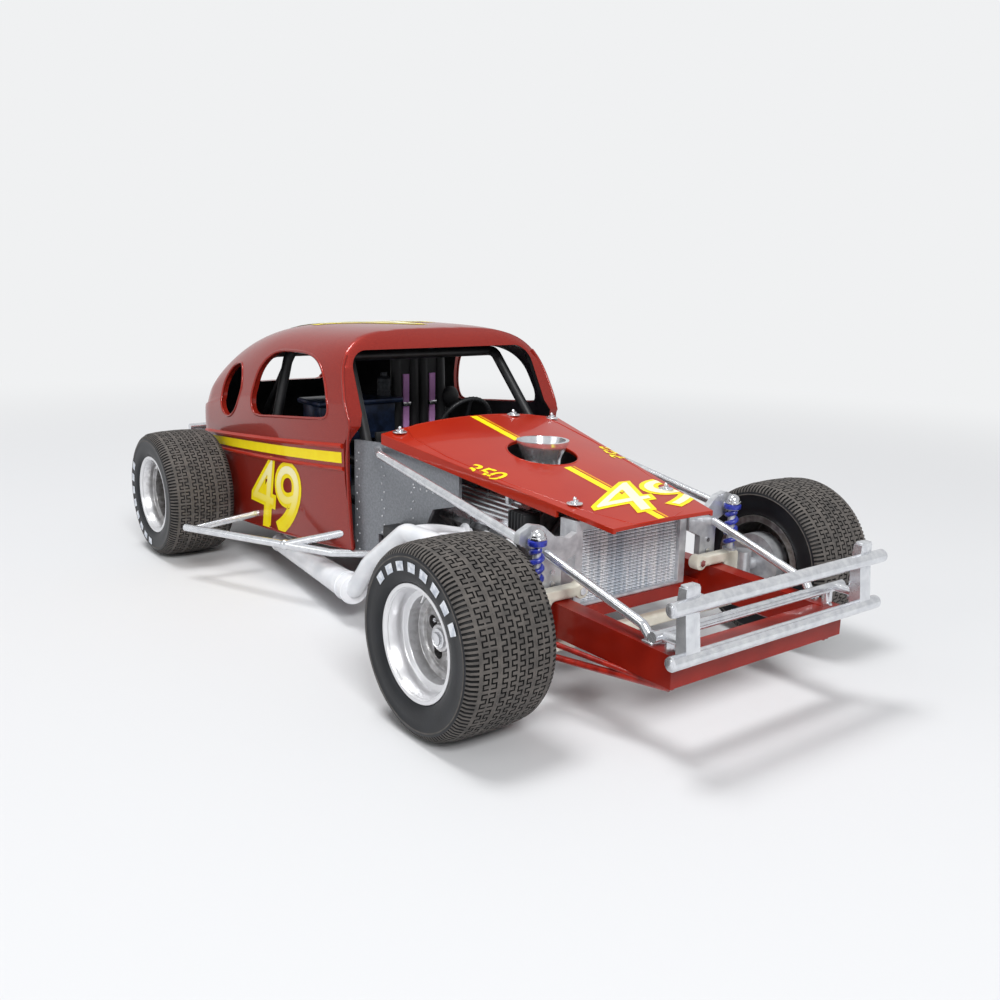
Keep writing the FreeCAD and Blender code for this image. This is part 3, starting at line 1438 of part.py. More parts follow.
def make_bumper():
    reach = size("front_reach") - size("bumper_radius")
    upper = size("bumper_upper")
    lower = size("bumper_lower")
    brace_y = -size("bumper_brace_station")
    brace_z = size("bumper_brace_height")
    thin = size("bumper_brace_radius")
    half = size("bumper_half")
    pieces = [
        rod(Vector(-half, -reach, upper), Vector(half, -reach, upper), size("bumper_radius")),
        rod(Vector(-half + 0.4, -reach, lower), Vector(half - 0.4, -reach, lower), size("bumper_radius")),
        rod(Vector(-half + 2, brace_y, brace_z), Vector(half - 2, brace_y, brace_z), thin),
    ]
    for sign in (-1, 1):
        x = sign * size("upright_half")
        width = size("upright_width")
        outline = [(-reach - 0.6, lower), (-reach + 1.3, lower), (-reach + 1.6, upper + 0.4),
                   (-reach + 1.4, upper + 2.2), (-reach + 0.1, upper + 2.2), (-reach + 0.1, upper)]
        corners = [Vector(x - width / 2, y, z) for y, z in outline]
        plate = Part.Face(Part.makePolygon(corners + [corners[0]])).extrude(Vector(width, 0, 0))
        pieces.append(plate)
        pieces.append(rod(Vector(x, -reach, brace_z), Vector(x, brace_y, brace_z), thin * 0.9))
        foot = sign * (size("rail_inner") + 1.5)
        rail_top = size("rail_front_top") - 1
        pieces.append(rod(Vector(foot, brace_y, brace_z), Vector(foot, brace_y, rail_top), thin))
    return joined(pieces).cut(doc.getObject("frame_rails").Tip.Shape)


set_piece("front_bumper", make_bumper())


# Side guards between front and rear wheels

def make_side_guard():
    radius = size("guard_radius")
    z = size("guard_height")
    rear = Vector(-size("guard_rear_reach"), size("guard_rear_station"), z)
    knee = Vector(-size("guard_front_reach"), size("guard_front_station"), z + 0.8)
    bar = bent_tube([rear, knee, Vector(-size("rail_outer"), 44.6, z + 1.6)], 3.0, radius)
    share = 0.06
    strut_start = rear + (knee - rear) * share
    rear_strut = rod(strut_start, Vector(-20, 85.8, 12.6), radius * 0.85)
    boss = rear + (knee - rear) * 0.7
    front_strut = rod(boss, Vector(-21, 48.8, 16.2), radius)
    ball = Part.makeSphere(1.0, boss)
    struts = joined([rear_strut, front_strut]).cut(body_loft(-0.05, 0, 0, 0).cut(front_block(0)))
    kept = [piece for piece in struts.Solids if piece.CenterOfMass.x < -24]
    guard = joined([bar, ball] + kept)
    for neighbour in ("cowl_panel_right", "frame_rails"):
        guard = guard.cut(local_shape(neighbour))
    return max(guard.Solids, key=lambda piece: piece.Volume)


pair_of_pieces("side_guard", make_side_guard())


# Headers: primaries into a log that turns down to a long collector

def make_header():
    out = -size("header_out")
    high = size("header_height")
    low = size("collector_height")
    log = bent_tube([
        Vector(out, size("engine_front") + 3.4, high),
        Vector(out - 0.4, 29.5, high - 0.1),
        Vector(-26.0, 39.5, 12.6),
        Vector(-26.0, size("collector_station"), low),
        Vector(-25.6, size("collector_station") + 9, low),
    ], 2.6, size("header_radius"))
    start = Vector(-26.0, size("collector_station"), low)
    stop = Vector(-22.0, size("tailpipe_station"), low - 0.6)
    run = stop - start
    collector = Part.makeCone(size("collector_radius"), size("tailpipe_radius"), run.Length, start, run)
    bore = Part.makeCylinder(size("tailpipe_radius") - 0.5, 8, stop - run.normalize() * 6, run)
    pieces = [log, collector.cut(bore)]
    for share in (0.1, 0.34, 0.58):
        y = size("engine_front") + share * (size("engine_rear") - size("engine_front"))
        pieces.append(rod(Vector(-13.4, y, 18.8), Vector(out, y + 1.5, high), size("primary_radius")))
    return joined(pieces)


header_cut = [doc.getObject(name) for name in ("cylinder_head_right", "engine_block")]
header = make_header()
for neighbour in header_cut:
    header = header.cut(neighbour.Tip.Shape)
pair_of_pieces("header", header)

# Oil tank box beside the right rail, fuel cell and rear bumper

tank = new_body("side_tank")
pad(tank, "XY_Plane", "12", "18.6", [
    ("-22.4", "30"),
    ("-Sizes.rail_outer - 0.7", "30"),
    ("-Sizes.rail_outer - 0.7", "41.2"),
    ("-22.4", "41.2"),
])

cell = new_body("fuel_cell")
pad(cell, "XY_Plane", "10", "Sizes.kick_bottom - 0.2", [
    ("-12", "Sizes.wheelbase + Sizes.diff_radius + 1.2"),
    ("12", "Sizes.wheelbase + Sizes.diff_radius + 1.2"),
    ("12", "Sizes.frame_tail - Sizes.crossmember - 0.2"),
    ("-12", "Sizes.frame_tail - Sizes.crossmember - 0.2"),
])


def make_rear_bumper():
    reach = size("rear_reach") - size("rear_tube_radius")
    radius = size("rear_tube_radius")
    low = (size("rail_tail_top") + size("rail_tail_bottom")) / 2
    high = low + 6.6
    pieces = [
        rod(Vector(-24, reach, low), Vector(24, reach, low), radius),
        rod(Vector(-22, reach, high), Vector(22, reach, high), radius * 0.85),
    ]
    for sign in (-1, 1):
        x = sign * (size("rail_inner") + 1.5)
        pieces.append(rod(Vector(x, size("frame_tail"), low), Vector(x, reach, low), radius * 0.9))
        pieces.append(rod(Vector(x, reach, low), Vector(x, reach, high), radius * 0.8))
    return joined(pieces)


set_piece("rear_bumper", make_rear_bumper())

# Check every object, then write one file for each sub-part

doc.recompute()
for item in doc.Objects:
    if "Invalid" in item.State or "Error" in item.State:
        raise RuntimeError("failed: " + item.Name + " " + str(item.State))

FUSED = [item for item in doc.Objects if item.TypeId == "Part::MultiFuse"]
INNER_PIECES = {owner.Name for item in FUSED for owner in item.Shapes}
NODE_TYPES = ("PartDesign::Body", "Part::Feature", "Part::MultiFuse")
written = []
for item in doc.Objects:
    named = item.TypeId in NODE_TYPES or item.Name == "driveshaft"
    if not named or item.Name in INNER_PIECES:
        continue
    shape = item.Shape
    if shape.isNull() or not shape.isValid() or not shape.Solids:
        raise RuntimeError("bad shape: " + item.Label)
    shape.exportStep("parts/%s.step" % item.Label)
    written.append(item.Label)
    print("%-22s solids %d volume %8.1f" % (item.Label, len(shape.Solids), shape.Volume))
print(len(written), "sub-parts written")
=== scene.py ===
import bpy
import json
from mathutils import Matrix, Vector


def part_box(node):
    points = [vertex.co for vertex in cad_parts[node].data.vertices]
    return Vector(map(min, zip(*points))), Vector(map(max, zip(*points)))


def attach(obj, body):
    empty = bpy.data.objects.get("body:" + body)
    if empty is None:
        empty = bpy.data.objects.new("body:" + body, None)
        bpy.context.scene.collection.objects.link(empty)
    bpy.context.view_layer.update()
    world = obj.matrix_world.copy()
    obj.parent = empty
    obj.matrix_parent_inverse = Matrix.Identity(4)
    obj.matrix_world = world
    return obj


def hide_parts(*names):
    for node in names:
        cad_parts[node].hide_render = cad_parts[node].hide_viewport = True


bl_info = {
    "name": "Modified Coupe Model",
    "version": (1, 0, 0),
    "blender": (4, 5, 0),
    "location": "View3D > Sidebar > Coupe",
    "description": "Dresses the packed scale model of a modified coupe with its trim, tyres and finishes",
    "category": "Object",
}

import json
import math

import bmesh
import bpy
from mathutils import Matrix, Vector

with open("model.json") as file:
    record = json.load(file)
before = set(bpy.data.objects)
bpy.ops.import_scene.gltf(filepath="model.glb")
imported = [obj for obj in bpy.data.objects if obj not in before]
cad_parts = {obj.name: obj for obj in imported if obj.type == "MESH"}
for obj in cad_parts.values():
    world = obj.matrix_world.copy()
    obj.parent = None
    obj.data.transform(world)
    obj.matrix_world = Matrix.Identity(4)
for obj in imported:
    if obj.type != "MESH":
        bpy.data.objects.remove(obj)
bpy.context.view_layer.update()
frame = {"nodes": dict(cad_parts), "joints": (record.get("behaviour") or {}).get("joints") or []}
NODES = frame["nodes"]
SPINS = {joint["name"]: Vector(joint["pos_m"]) for joint in frame["joints"]}

MM = 0.001
NOSE_AXLE_Y = SPINS["front_right_spin"].y
SIDES = {"right": -1, "left": 1}

# Steps of one millimetre, LEFT being the driver's left
UP = Vector((0, 0, MM))
LEFT = Vector((MM, 0, 0))
BACK = Vector((0, MM, 0))
AHEAD = Vector((0, -MM, 0))

# Millimetres beside and over the car where trim is laid out before it is pressed onto the panels,
# and the distance in metres from which rays look for a panel
ASIDE = 40
ABOVE = 60
FAR = 0.2

# Ends and height of the cabin's middle line, in millimetres on the car
CABIN_FRONT, CABIN_REAR, CABIN_Z = 58, 100, 28

# Distance at which the loose triangles of a CAD node count as joined
JOINED = 2e-6


def at(x, y, z):
    """Place on the car, from millimetres measured back from the front axle."""
    return Vector((x * MM, y * MM + NOSE_AXLE_Y, z * MM))


def by(x, y, z):
    """Step on the car, in millimetres."""
    return Vector((x * MM, y * MM, z * MM))


def spot_of(place):
    """Place as a Vector, also where it is given as millimetres on the car."""
    return place if isinstance(place, Vector) else at(*place)


# Settings


class CoupeColours(bpy.types.PropertyGroup):
    """Colours that a builder of this model would choose."""

    body: bpy.props.StringProperty(
        name="Body", description="Metallic lacquer of the coupe body, sRGB hex", default="8a1c12")
    hood: bpy.props.StringProperty(
        name="Hood", description="Lacquer of the hood, sRGB hex", default="a8230f")
    frame: bpy.props.StringProperty(
        name="Frame", description="Enamel of the frame rails, sRGB hex", default="861a0d")
    stripe: bpy.props.StringProperty(
        name="Stripe", description="Stripes and number outlines, sRGB hex", default="fbdf08")
    springs: bpy.props.StringProperty(
        name="Springs", description="Enamel of the coil springs, sRGB hex", default="23309a")


class CoupeSizes(bpy.types.PropertyGroup):
    """Sizes of the trim, at the model's own scale."""

    rivet: bpy.props.FloatProperty(
        name="Rivet Radius", description="Radius of a rivet head", default=0.21 * MM, unit="LENGTH")
    rivet_pitch: bpy.props.FloatProperty(
        name="Rivet Pitch", description="Distance between rivets", default=1.5 * MM, unit="LENGTH")
    decal: bpy.props.FloatProperty(
        name="Decal Lift", description="Height of a decal over its panel", default=0.03 * MM, unit="LENGTH")
    slit_depth: bpy.props.FloatProperty(
        name="Slit Depth", description="Depth of the slits in the tread", default=0.32 * MM, unit="LENGTH")
    tread_steps: bpy.props.IntProperty(
        name="Tread Steps", description="Divisions of the tread round the tyre", default=240, min=80)
    number: bpy.props.StringProperty(
        name="Number", description="Race number on doors, hood and roof", default="49")
    engine: bpy.props.StringProperty(
        name="Engine Size", description="Small figures along the hood's edges", default="350")


# Finishes


def linear(colour, alpha=1.0):
    """Linear colour of an sRGB hex value."""
    channels = [int(colour[place:place + 2], 16) / 255 for place in (0, 2, 4)]
    curve = [c / 12.92 if c <= 0.04045 else ((c + 0.055) / 1.055) ** 2.4 for c in channels]
    return (*curve, alpha)


def feed(owner, node, **inputs):
    """Give a node's inputs, named as in the editor or numbered, a value or a socket to link."""
    for name, value in inputs.items():
        key = int(name[1:]) if name[0] == "n" and name[1:].isdigit() else name.replace("_", " ")
        if isinstance(value, bpy.types.NodeSocket):
            owner.node_tree.links.new(value, node.inputs[key])
        else:
            node.inputs[key].default_value = value


def add_node(owner, kind, settings=(), **inputs):
    """Add a node with its settings and inputs to a material or a world."""
    node = owner.node_tree.nodes.new(kind)
    for name, value in dict(settings).items():
        setattr(node, name, value)
    feed(owner, node, **inputs)
    return node


def new_finish(name, slot, base, roughness, **sockets):
    """Material with the shader's plain sockets set."""
    material = bpy.data.materials.new(name)
    material.use_nodes = True
    material["slot"] = slot
    shader = material.node_tree.nodes["Principled BSDF"]
    feed(material, shader, Base_Color=linear(base), Roughness=roughness, **sockets)
    return material, shader


def place_of(material):
    """Socket with the place on the piece."""
    return add_node(material, "ShaderNodeTexCoord").outputs["Object"]


def noise_of(material, size, detail=2.0):
    """Socket with noise of a real size in millimetres."""
    return add_node(material, "ShaderNodeTexNoise", Vector=place_of(material),
                    Scale=1 / (size * MM), Detail=detail).outputs["Fac"]


def two_tones(material, factor, dark, light, low=0.0, high=1.0):
    """Socket with a colour between two tones."""
    ramp = add_node(material, "ShaderNodeValToRGB", Fac=factor)
    for element, position, colour in zip(ramp.color_ramp.elements, (low, high), (dark, light)):
        element.position = position
        element.color = linear(colour)
    return ramp.outputs["Color"]


def mottle(material, shader, light, dark, size, detail=4.0, low=0.35, high=0.65):
    """Colour that wanders between two tones over a real size in millimetres."""
    noise = noise_of(material, size, detail)
    feed(material, shader, Base_Color=two_tones(material, noise, dark, light, low, high))


def relief(material, shader, height, depth, strength=1.0):
    """Surface that rises with a socket, by a real height in millimetres."""
    bump = add_node(material, "ShaderNodeBump", Strength=strength, Distance=depth * MM, Height=height)
    feed(material, shader, Normal=bump.outputs["Normal"])


def uneven_gloss(material, shader, size, low, high):
    """Roughness that varies where the surface was handled or brushed."""
    spread = add_node(material, "ShaderNodeMapRange", Value=noise_of(material, size, 3.0),
                      From_Min=0.3, From_Max=0.7, To_Min=low, To_Max=high)
    feed(material, shader, Roughness=spread.outputs["Result"])


# Distance in millimetres between the rows of the radiator's comb
FIN_PITCH = 0.54

# Gloss of paint under a clear coat, and of waterslide decals
DECAL = {"Coat_Weight": 0.15, "Coat_Roughness": 0.1, "Specular_IOR_Level": 0.15}


def finish_table(colours):
    """Material, slot, base colour, roughness, sockets, mottle and grain of each finish."""
    body, hood, rails, stripe = colours.body, colours.hood, colours.frame, colours.stripe
    return {
        # Metallic lacquer under clear coat: fine flakes glint, and the coat gives soft highlights
        "body": ("metallic_lacquer", "body_maroon", body, 0.36,
                 {"Metallic": 0.3, "Coat_Weight": 0.7, "Coat_Roughness": 0.07, "Specular_IOR_Level": 0.1},
                 ("a8301f", body, 0.12, 1.0, 0.45, 0.8), (2.2, 0.003)),
        # Solid red lacquer, brushed out by hand, with a slight orange peel
        "hood": ("red_lacquer", "hood_red", hood, 0.32,
                 {"Coat_Weight": 0.4, "Coat_Roughness": 0.05, "Specular_IOR_Level": 0.1},
                 ("ae2a12", hood, 9.0), (1.1, 0.003)),
        # Frame enamel, the same red, dulled a little by handling
        "frame": ("frame_enamel", "frame_red", rails, 0.34,
                  {"Coat_Weight": 0.35, "Coat_Roughness": 0.08, "Specular_IOR_Level": 0.1},
                  ("941f10", rails, 5.0), (0.9, 0.006)),
        # Silver paint brushed over plastic tube: bright, with soft-edged reflections
        "tubes": ("silver_paint", "tube_silver", "dcdee2", 0.2, {"Metallic": 0.8},
                  ("e6e8eb", "cfd1d6", 1.2, 3.0, 0.3, 0.7), (2.4, 0.01)),
        # Cast wheel in silver paint, darkened by painted shade towards its inner side and by random stains
        "wheel": ("wheel_silver", "wheel_silver", "d8d8da", 0.3, {"Metallic": 0.75}, (), (0.6, 0.012)),
        # Gunmetal sheet: even grey with a grain too fine to see singly
        "panel": ("gunmetal_sheet", "panel_grey", "7d8085", 0.38, {"Metallic": 0.55},
                  ("8b8e93", "7a7d82", 0.35, 3.0, 0.35, 0.7), (0.3, 0.004)),
        # Bright aluminium plate of the towers and the radiator frame
        "plate": ("cast_aluminium", "panel_grey", "c2c4c9", 0.34, {"Metallic": 0.6},
                  ("d0d2d5", "b0b2b7", 1.6, 4.0, 0.3, 0.62), (0.6, 0.008)),
        # Engine castings, greyer and rougher
        "casting": ("engine_casting", "engine_grey", "6d6f72", 0.5, {"Metallic": 0.5},
                    ("85878a", "3e3f41", 1.5, 6.0, 0.3, 0.62), (0.22, 0.02)),
        # Moulded rubber: blue-black and slightly shiny on the sidewall
        "rubber": ("tyre_sidewall", "tyre_rubber", "121419", 0.42, {"Specular_IOR_Level": 0.35},
                   ("16181d", "0e1014", 3.0), (0.3, 0.008)),
        # Sanded tread: dusty brown-grey where it touches the road
        "tread": ("worn_tread", "tyre_rubber", "514d4a", 0.75, {},
                  ("5d5854", "413e3c", 1.6, 5.0, 0.3, 0.66), (0.15, 0.02)),
        # Bottom of the slits and of the shoulder's teeth, darker than the tread
        "groove": ("slit_rubber", "tyre_rubber", "19191b", 0.7, {}, ("212122", "141415", 0.8), ()),
        # White enamel on the headers, pooled slightly thick
        "white": ("white_enamel", "header_white", "e6e7ea", 0.3, {"Coat_Weight": 0.4},
                  ("f1f2f5", "e0e3e8", 4.0), (0.8, 0.012)),
        # Moulded black plastic, satin
        "black": ("satin_black", "black_plastic", "17181a", 0.45, {}, ("222326", "121314", 2.5), (0.3, 0.008)),
        # Seat padding in matt black vinyl, which wrinkles into cells
        "vinyl": ("seat_vinyl", "black_plastic", "1d1e21", 0.6, {}, (), ()),
        # Dark blue tinplate of the box in the cabin
        "navy": ("blue_tinplate", "black_plastic", "202c44", 0.3, {"Metallic": 0.4},
                 ("2c3c5c", "1a2336", 1.4), (0.3, 0.008)),
        # Bare ivory plastic of the axles
        "ivory": ("ivory_plastic", "axle_ivory", "dedbcd", 0.4, {}, ("e6e3d7", "cfcbbb", 3.0), (0.4, 0.008)),
        # Blue enamel on the springs
        "blue": ("spring_enamel", "spring_blue", colours.springs, 0.28, {"Coat_Weight": 0.5},
                 ("2b3ab8", "1c2780", 0.8), ()),
        # Thin red rods, glossy enamel
        "rods": ("rod_enamel", "rod_red", "9a1f14", 0.3, {"Coat_Weight": 0.5}, ("b02a1c", "7f170e", 1.5), ()),
        # Woven belt in lilac, with a rib across each thread
        "belt": ("belt_weave", "belt_lilac", "f3aef6", 0.75, {"Sheen_Weight": 0.3}, (), ()),
        # Bright plating on the clamps, bolts and caps
        "plating": ("bright_plating", "polished_metal", "d9dadd", 0.14, {"Metallic": 1.0}, (), ()),
        # Radiator core behind the fins, in shade
        "core": ("radiator_core", "core_dark", "2d3036", 0.5, {"Metallic": 0.3},
                 ("383c43", "24272c", 0.5), ()),
        # Radiator comb: rows of short bright dashes, with painted shade in the dark gaps between them, and
        # upright streaks of lighter and darker tone
        "fins": ("radiator_fins", "panel_grey", "dfe6ee", 0.36, {"Metallic": 0.15}, (), ()),
        # Waterslide decals: opaque colour, duller than the lacquer around them
        "yellow": ("yellow_decal", "", stripe, 0.4, DECAL, ("ffe814", stripe, 3.0), ()),
        # White that fades to yellow towards the foot of the door figures
        "pale": ("white_decal", "", "fffbd8", 0.4, DECAL, (), ()),
        "amber": ("amber_decal", "", "e89a10", 0.4, DECAL, ("f0a818", "dd8c0c", 3.0), ()),
        # Sidewall paint: chalky white
        "chalk": ("sidewall_paint", "header_white", "dfe3ea", 0.55, {}, ("eceff4", "b9c0cc", 0.9), ()),
    }


def make_finishes(colours):
    """Every finish of the model, by name."""
    made = {}
    for name, (label, slot, base, roughness, sockets, tones, grain) in finish_table(colours).items():
        made[name] = material, shader = new_finish(label, slot, base, roughness, **sockets)
        if tones:
            mottle(material, shader, *tones)
        if grain:
            relief(material, shader, noise_of(material, grain[0]), grain[1])
    uneven_gloss(*made["tubes"], 4.0, 0.14, 0.28)
    uneven_gloss(*made["plating"], 1.5, 0.1, 0.26)

    # Painted shade darkens the wheel towards its inner side, where the barrel lies in shade, and noise adds
    # random stains
    wheel, shader = made["wheel"]
    place = add_node(wheel, "ShaderNodeSeparateXYZ", Vector=place_of(wheel))
    outward = add_node(wheel, "ShaderNodeMath", {"operation": "ABSOLUTE"}, n0=place.outputs["X"])
    depth = add_node(wheel, "ShaderNodeMapRange", Value=outward.outputs["Value"],
                     From_Min=36.5 * MM, From_Max=41.0 * MM)
    reach = add_node(wheel, "ShaderNodeMath", {"operation": "MULTIPLY_ADD"}, n0=noise_of(wheel, 0.9, 5.0),
                     n1=0.7, n2=depth.outputs["Result"])
    feed(wheel, shader, Base_Color=two_tones(wheel, reach.outputs["Value"], "7d7a78", "e6e6e8", 0.3, 0.95))

    vinyl, shader = made["vinyl"]
    cells = add_node(vinyl, "ShaderNodeTexVoronoi", Vector=place_of(vinyl), Scale=1 / (0.25 * MM))
    relief(vinyl, shader, cells.outputs["Distance"], 0.03)

    belt, shader = made["belt"]
    weave = add_node(belt, "ShaderNodeTexWave", {"wave_type": "BANDS", "bands_direction": "Z"},
                     Vector=place_of(belt), Scale=1 / (0.35 * MM) / 6.283, Distortion=0.0)
    relief(belt, shader, weave.outputs["Fac"], 0.03, 0.6)

    fins, shader = made["fins"]
    place = add_node(fins, "ShaderNodeSeparateXYZ", Vector=place_of(fins))
    face = add_node(fins, "ShaderNodeCombineXYZ", X=place.outputs["X"], Y=place.outputs["Z"])
    squeezed = add_node(fins, "ShaderNodeMapping", Vector=place_of(fins), Scale=(1.0, 1.0, 0.06))
    streaks = add_node(fins, "ShaderNodeTexNoise", Vector=squeezed.outputs["Vector"],
                       Scale=1 / (0.9 * MM), Detail=3.0)
    shades = two_tones(fins, streaks.outputs["Fac"], "b9c4d0", "fafcff", 0.38, 0.62)
    # The dark mortar between the dashes is painted shade in the gaps between the fins
    dashes = add_node(fins, "ShaderNodeTexBrick", Vector=face.outputs["Vector"], Color1=shades,
                      Color2=shades, Mortar=linear("5a626d"), Scale=1 / MM, Mortar_Size=0.045,
                      Mortar_Smooth=0.4, Brick_Width=1.9, Row_Height=FIN_PITCH)
    feed(fins, shader, Base_Color=dashes.outputs["Color"])

    pale, shader = made["pale"]
    height = add_node(pale, "ShaderNodeSeparateXYZ", Vector=place_of(pale))
    rise = add_node(pale, "ShaderNodeMapRange", Value=height.outputs["Z"], From_Min=0.014, From_Max=0.025)
    feed(pale, shader, Base_Color=two_tones(pale, rise.outputs["Result"], "fde71c", "fffad0"))
    return {name: material for name, (material, _) in made.items()}


FINISHES = {}

# CAD nodes that show each finish as they are
SHOWN = {
    "body": ("body_shell",),
    "hood": ("hood",),
    "frame": ("frame_rails",),
    "ivory": ("front_axle", "rear_axle"),
    "plate": ("knuckle", "shock_tower", "radiator_support", "driveshaft"),
    "blue": ("front_coilover", "rear_coilover"),
    "rods": ("front_radius_rods", "trailing_arm"),
    "core": ("radiator",),
    "panel": ("floor_pan", "firewall", "cowl_panel"),
    "black": ("rear_tub", "roll_cage", "steering_wheel", "steering_column", "side_tank", "fuel_cell"),
    "vinyl": ("seat",),
    "belt": ("harness",),
    "casting": ("engine_block", "cylinder_head", "intake_manifold", "gearbox"),
    "tubes": ("valve_cover", "velocity_stack", "side_brace", "front_brace", "front_bumper", "rear_bumper",
              "side_guard"),
    "white": ("header",),
    "wheel": ("rim",),
    "rubber": ("tyre",),
}
NODE_FINISH = {stem: finish for finish, stems in SHOWN.items() for stem in stems}

# Radius in millimetres that moulding leaves on the edges of some nodes
SOFT_EDGES = {
    "body_shell": 0.3, "hood": 0.22, "frame_rails": 0.2, "front_axle": 0.6, "shock_tower": 0.25,
    "radiator_support": 0.15, "seat": 0.4, "engine_block": 0.3, "cylinder_head": 0.3, "valve_cover": 0.35,
    "intake_manifold": 0.25, "side_tank": 0.3, "fuel_cell": 0.4, "rim": 0.12, "harness": 0.06,
}


def smoothing(limit):
    """Modifier group that merges a CAD node's loose triangles and keeps edges over a limit hard."""
    group = bpy.data.node_groups.new("smooth_by_angle", "GeometryNodeTree")
    for direction in ("INPUT", "OUTPUT"):
        group.interface.new_socket("Geometry", in_out=direction, socket_type="NodeSocketGeometry")
    start, end, merge, angle, compare, faces, edges = (group.nodes.new(kind) for kind in (
        "NodeGroupInput", "NodeGroupOutput", "GeometryNodeMergeByDistance", "GeometryNodeInputMeshEdgeAngle",
        "FunctionNodeCompare", "GeometryNodeSetShadeSmooth", "GeometryNodeSetShadeSmooth"))
    merge.inputs["Distance"].default_value = JOINED
    compare.operation = "LESS_THAN"
    compare.inputs["B"].default_value = math.radians(limit)
    edges.domain = "EDGE"
    for output, socket in (
        (start.outputs[0], merge.inputs["Geometry"]),
        (merge.outputs["Geometry"], faces.inputs["Geometry"]),
        (faces.outputs["Geometry"], edges.inputs["Geometry"]),
        (angle.outputs["Unsigned Angle"], compare.inputs["A"]),
        (compare.outputs["Result"], edges.inputs["Shade Smooth"]),
        (edges.outputs["Geometry"], end.inputs[0]),
    ):
        group.links.new(output, socket)
    return group


# Shapes


# Angle in radians over which an edge between two faces is sharp
SHARP = 1.0

# Figures: font size for a height of one, slant, spacing, and the millimetres between their cuts
FONT_SIZE, SLANT, SPACING = 1.42, 0.25, 0.9
SLICE = 1.2

# Lips along an edge: the least distance of its places, the least number of them, how deep they
# lie under the edge, in millimetres, and how often the line is evened out
LIP_STEP, LIP_PLACES, LIP_SINK, LIP_ROUNDS = 0.4, 8, 0.12, 3


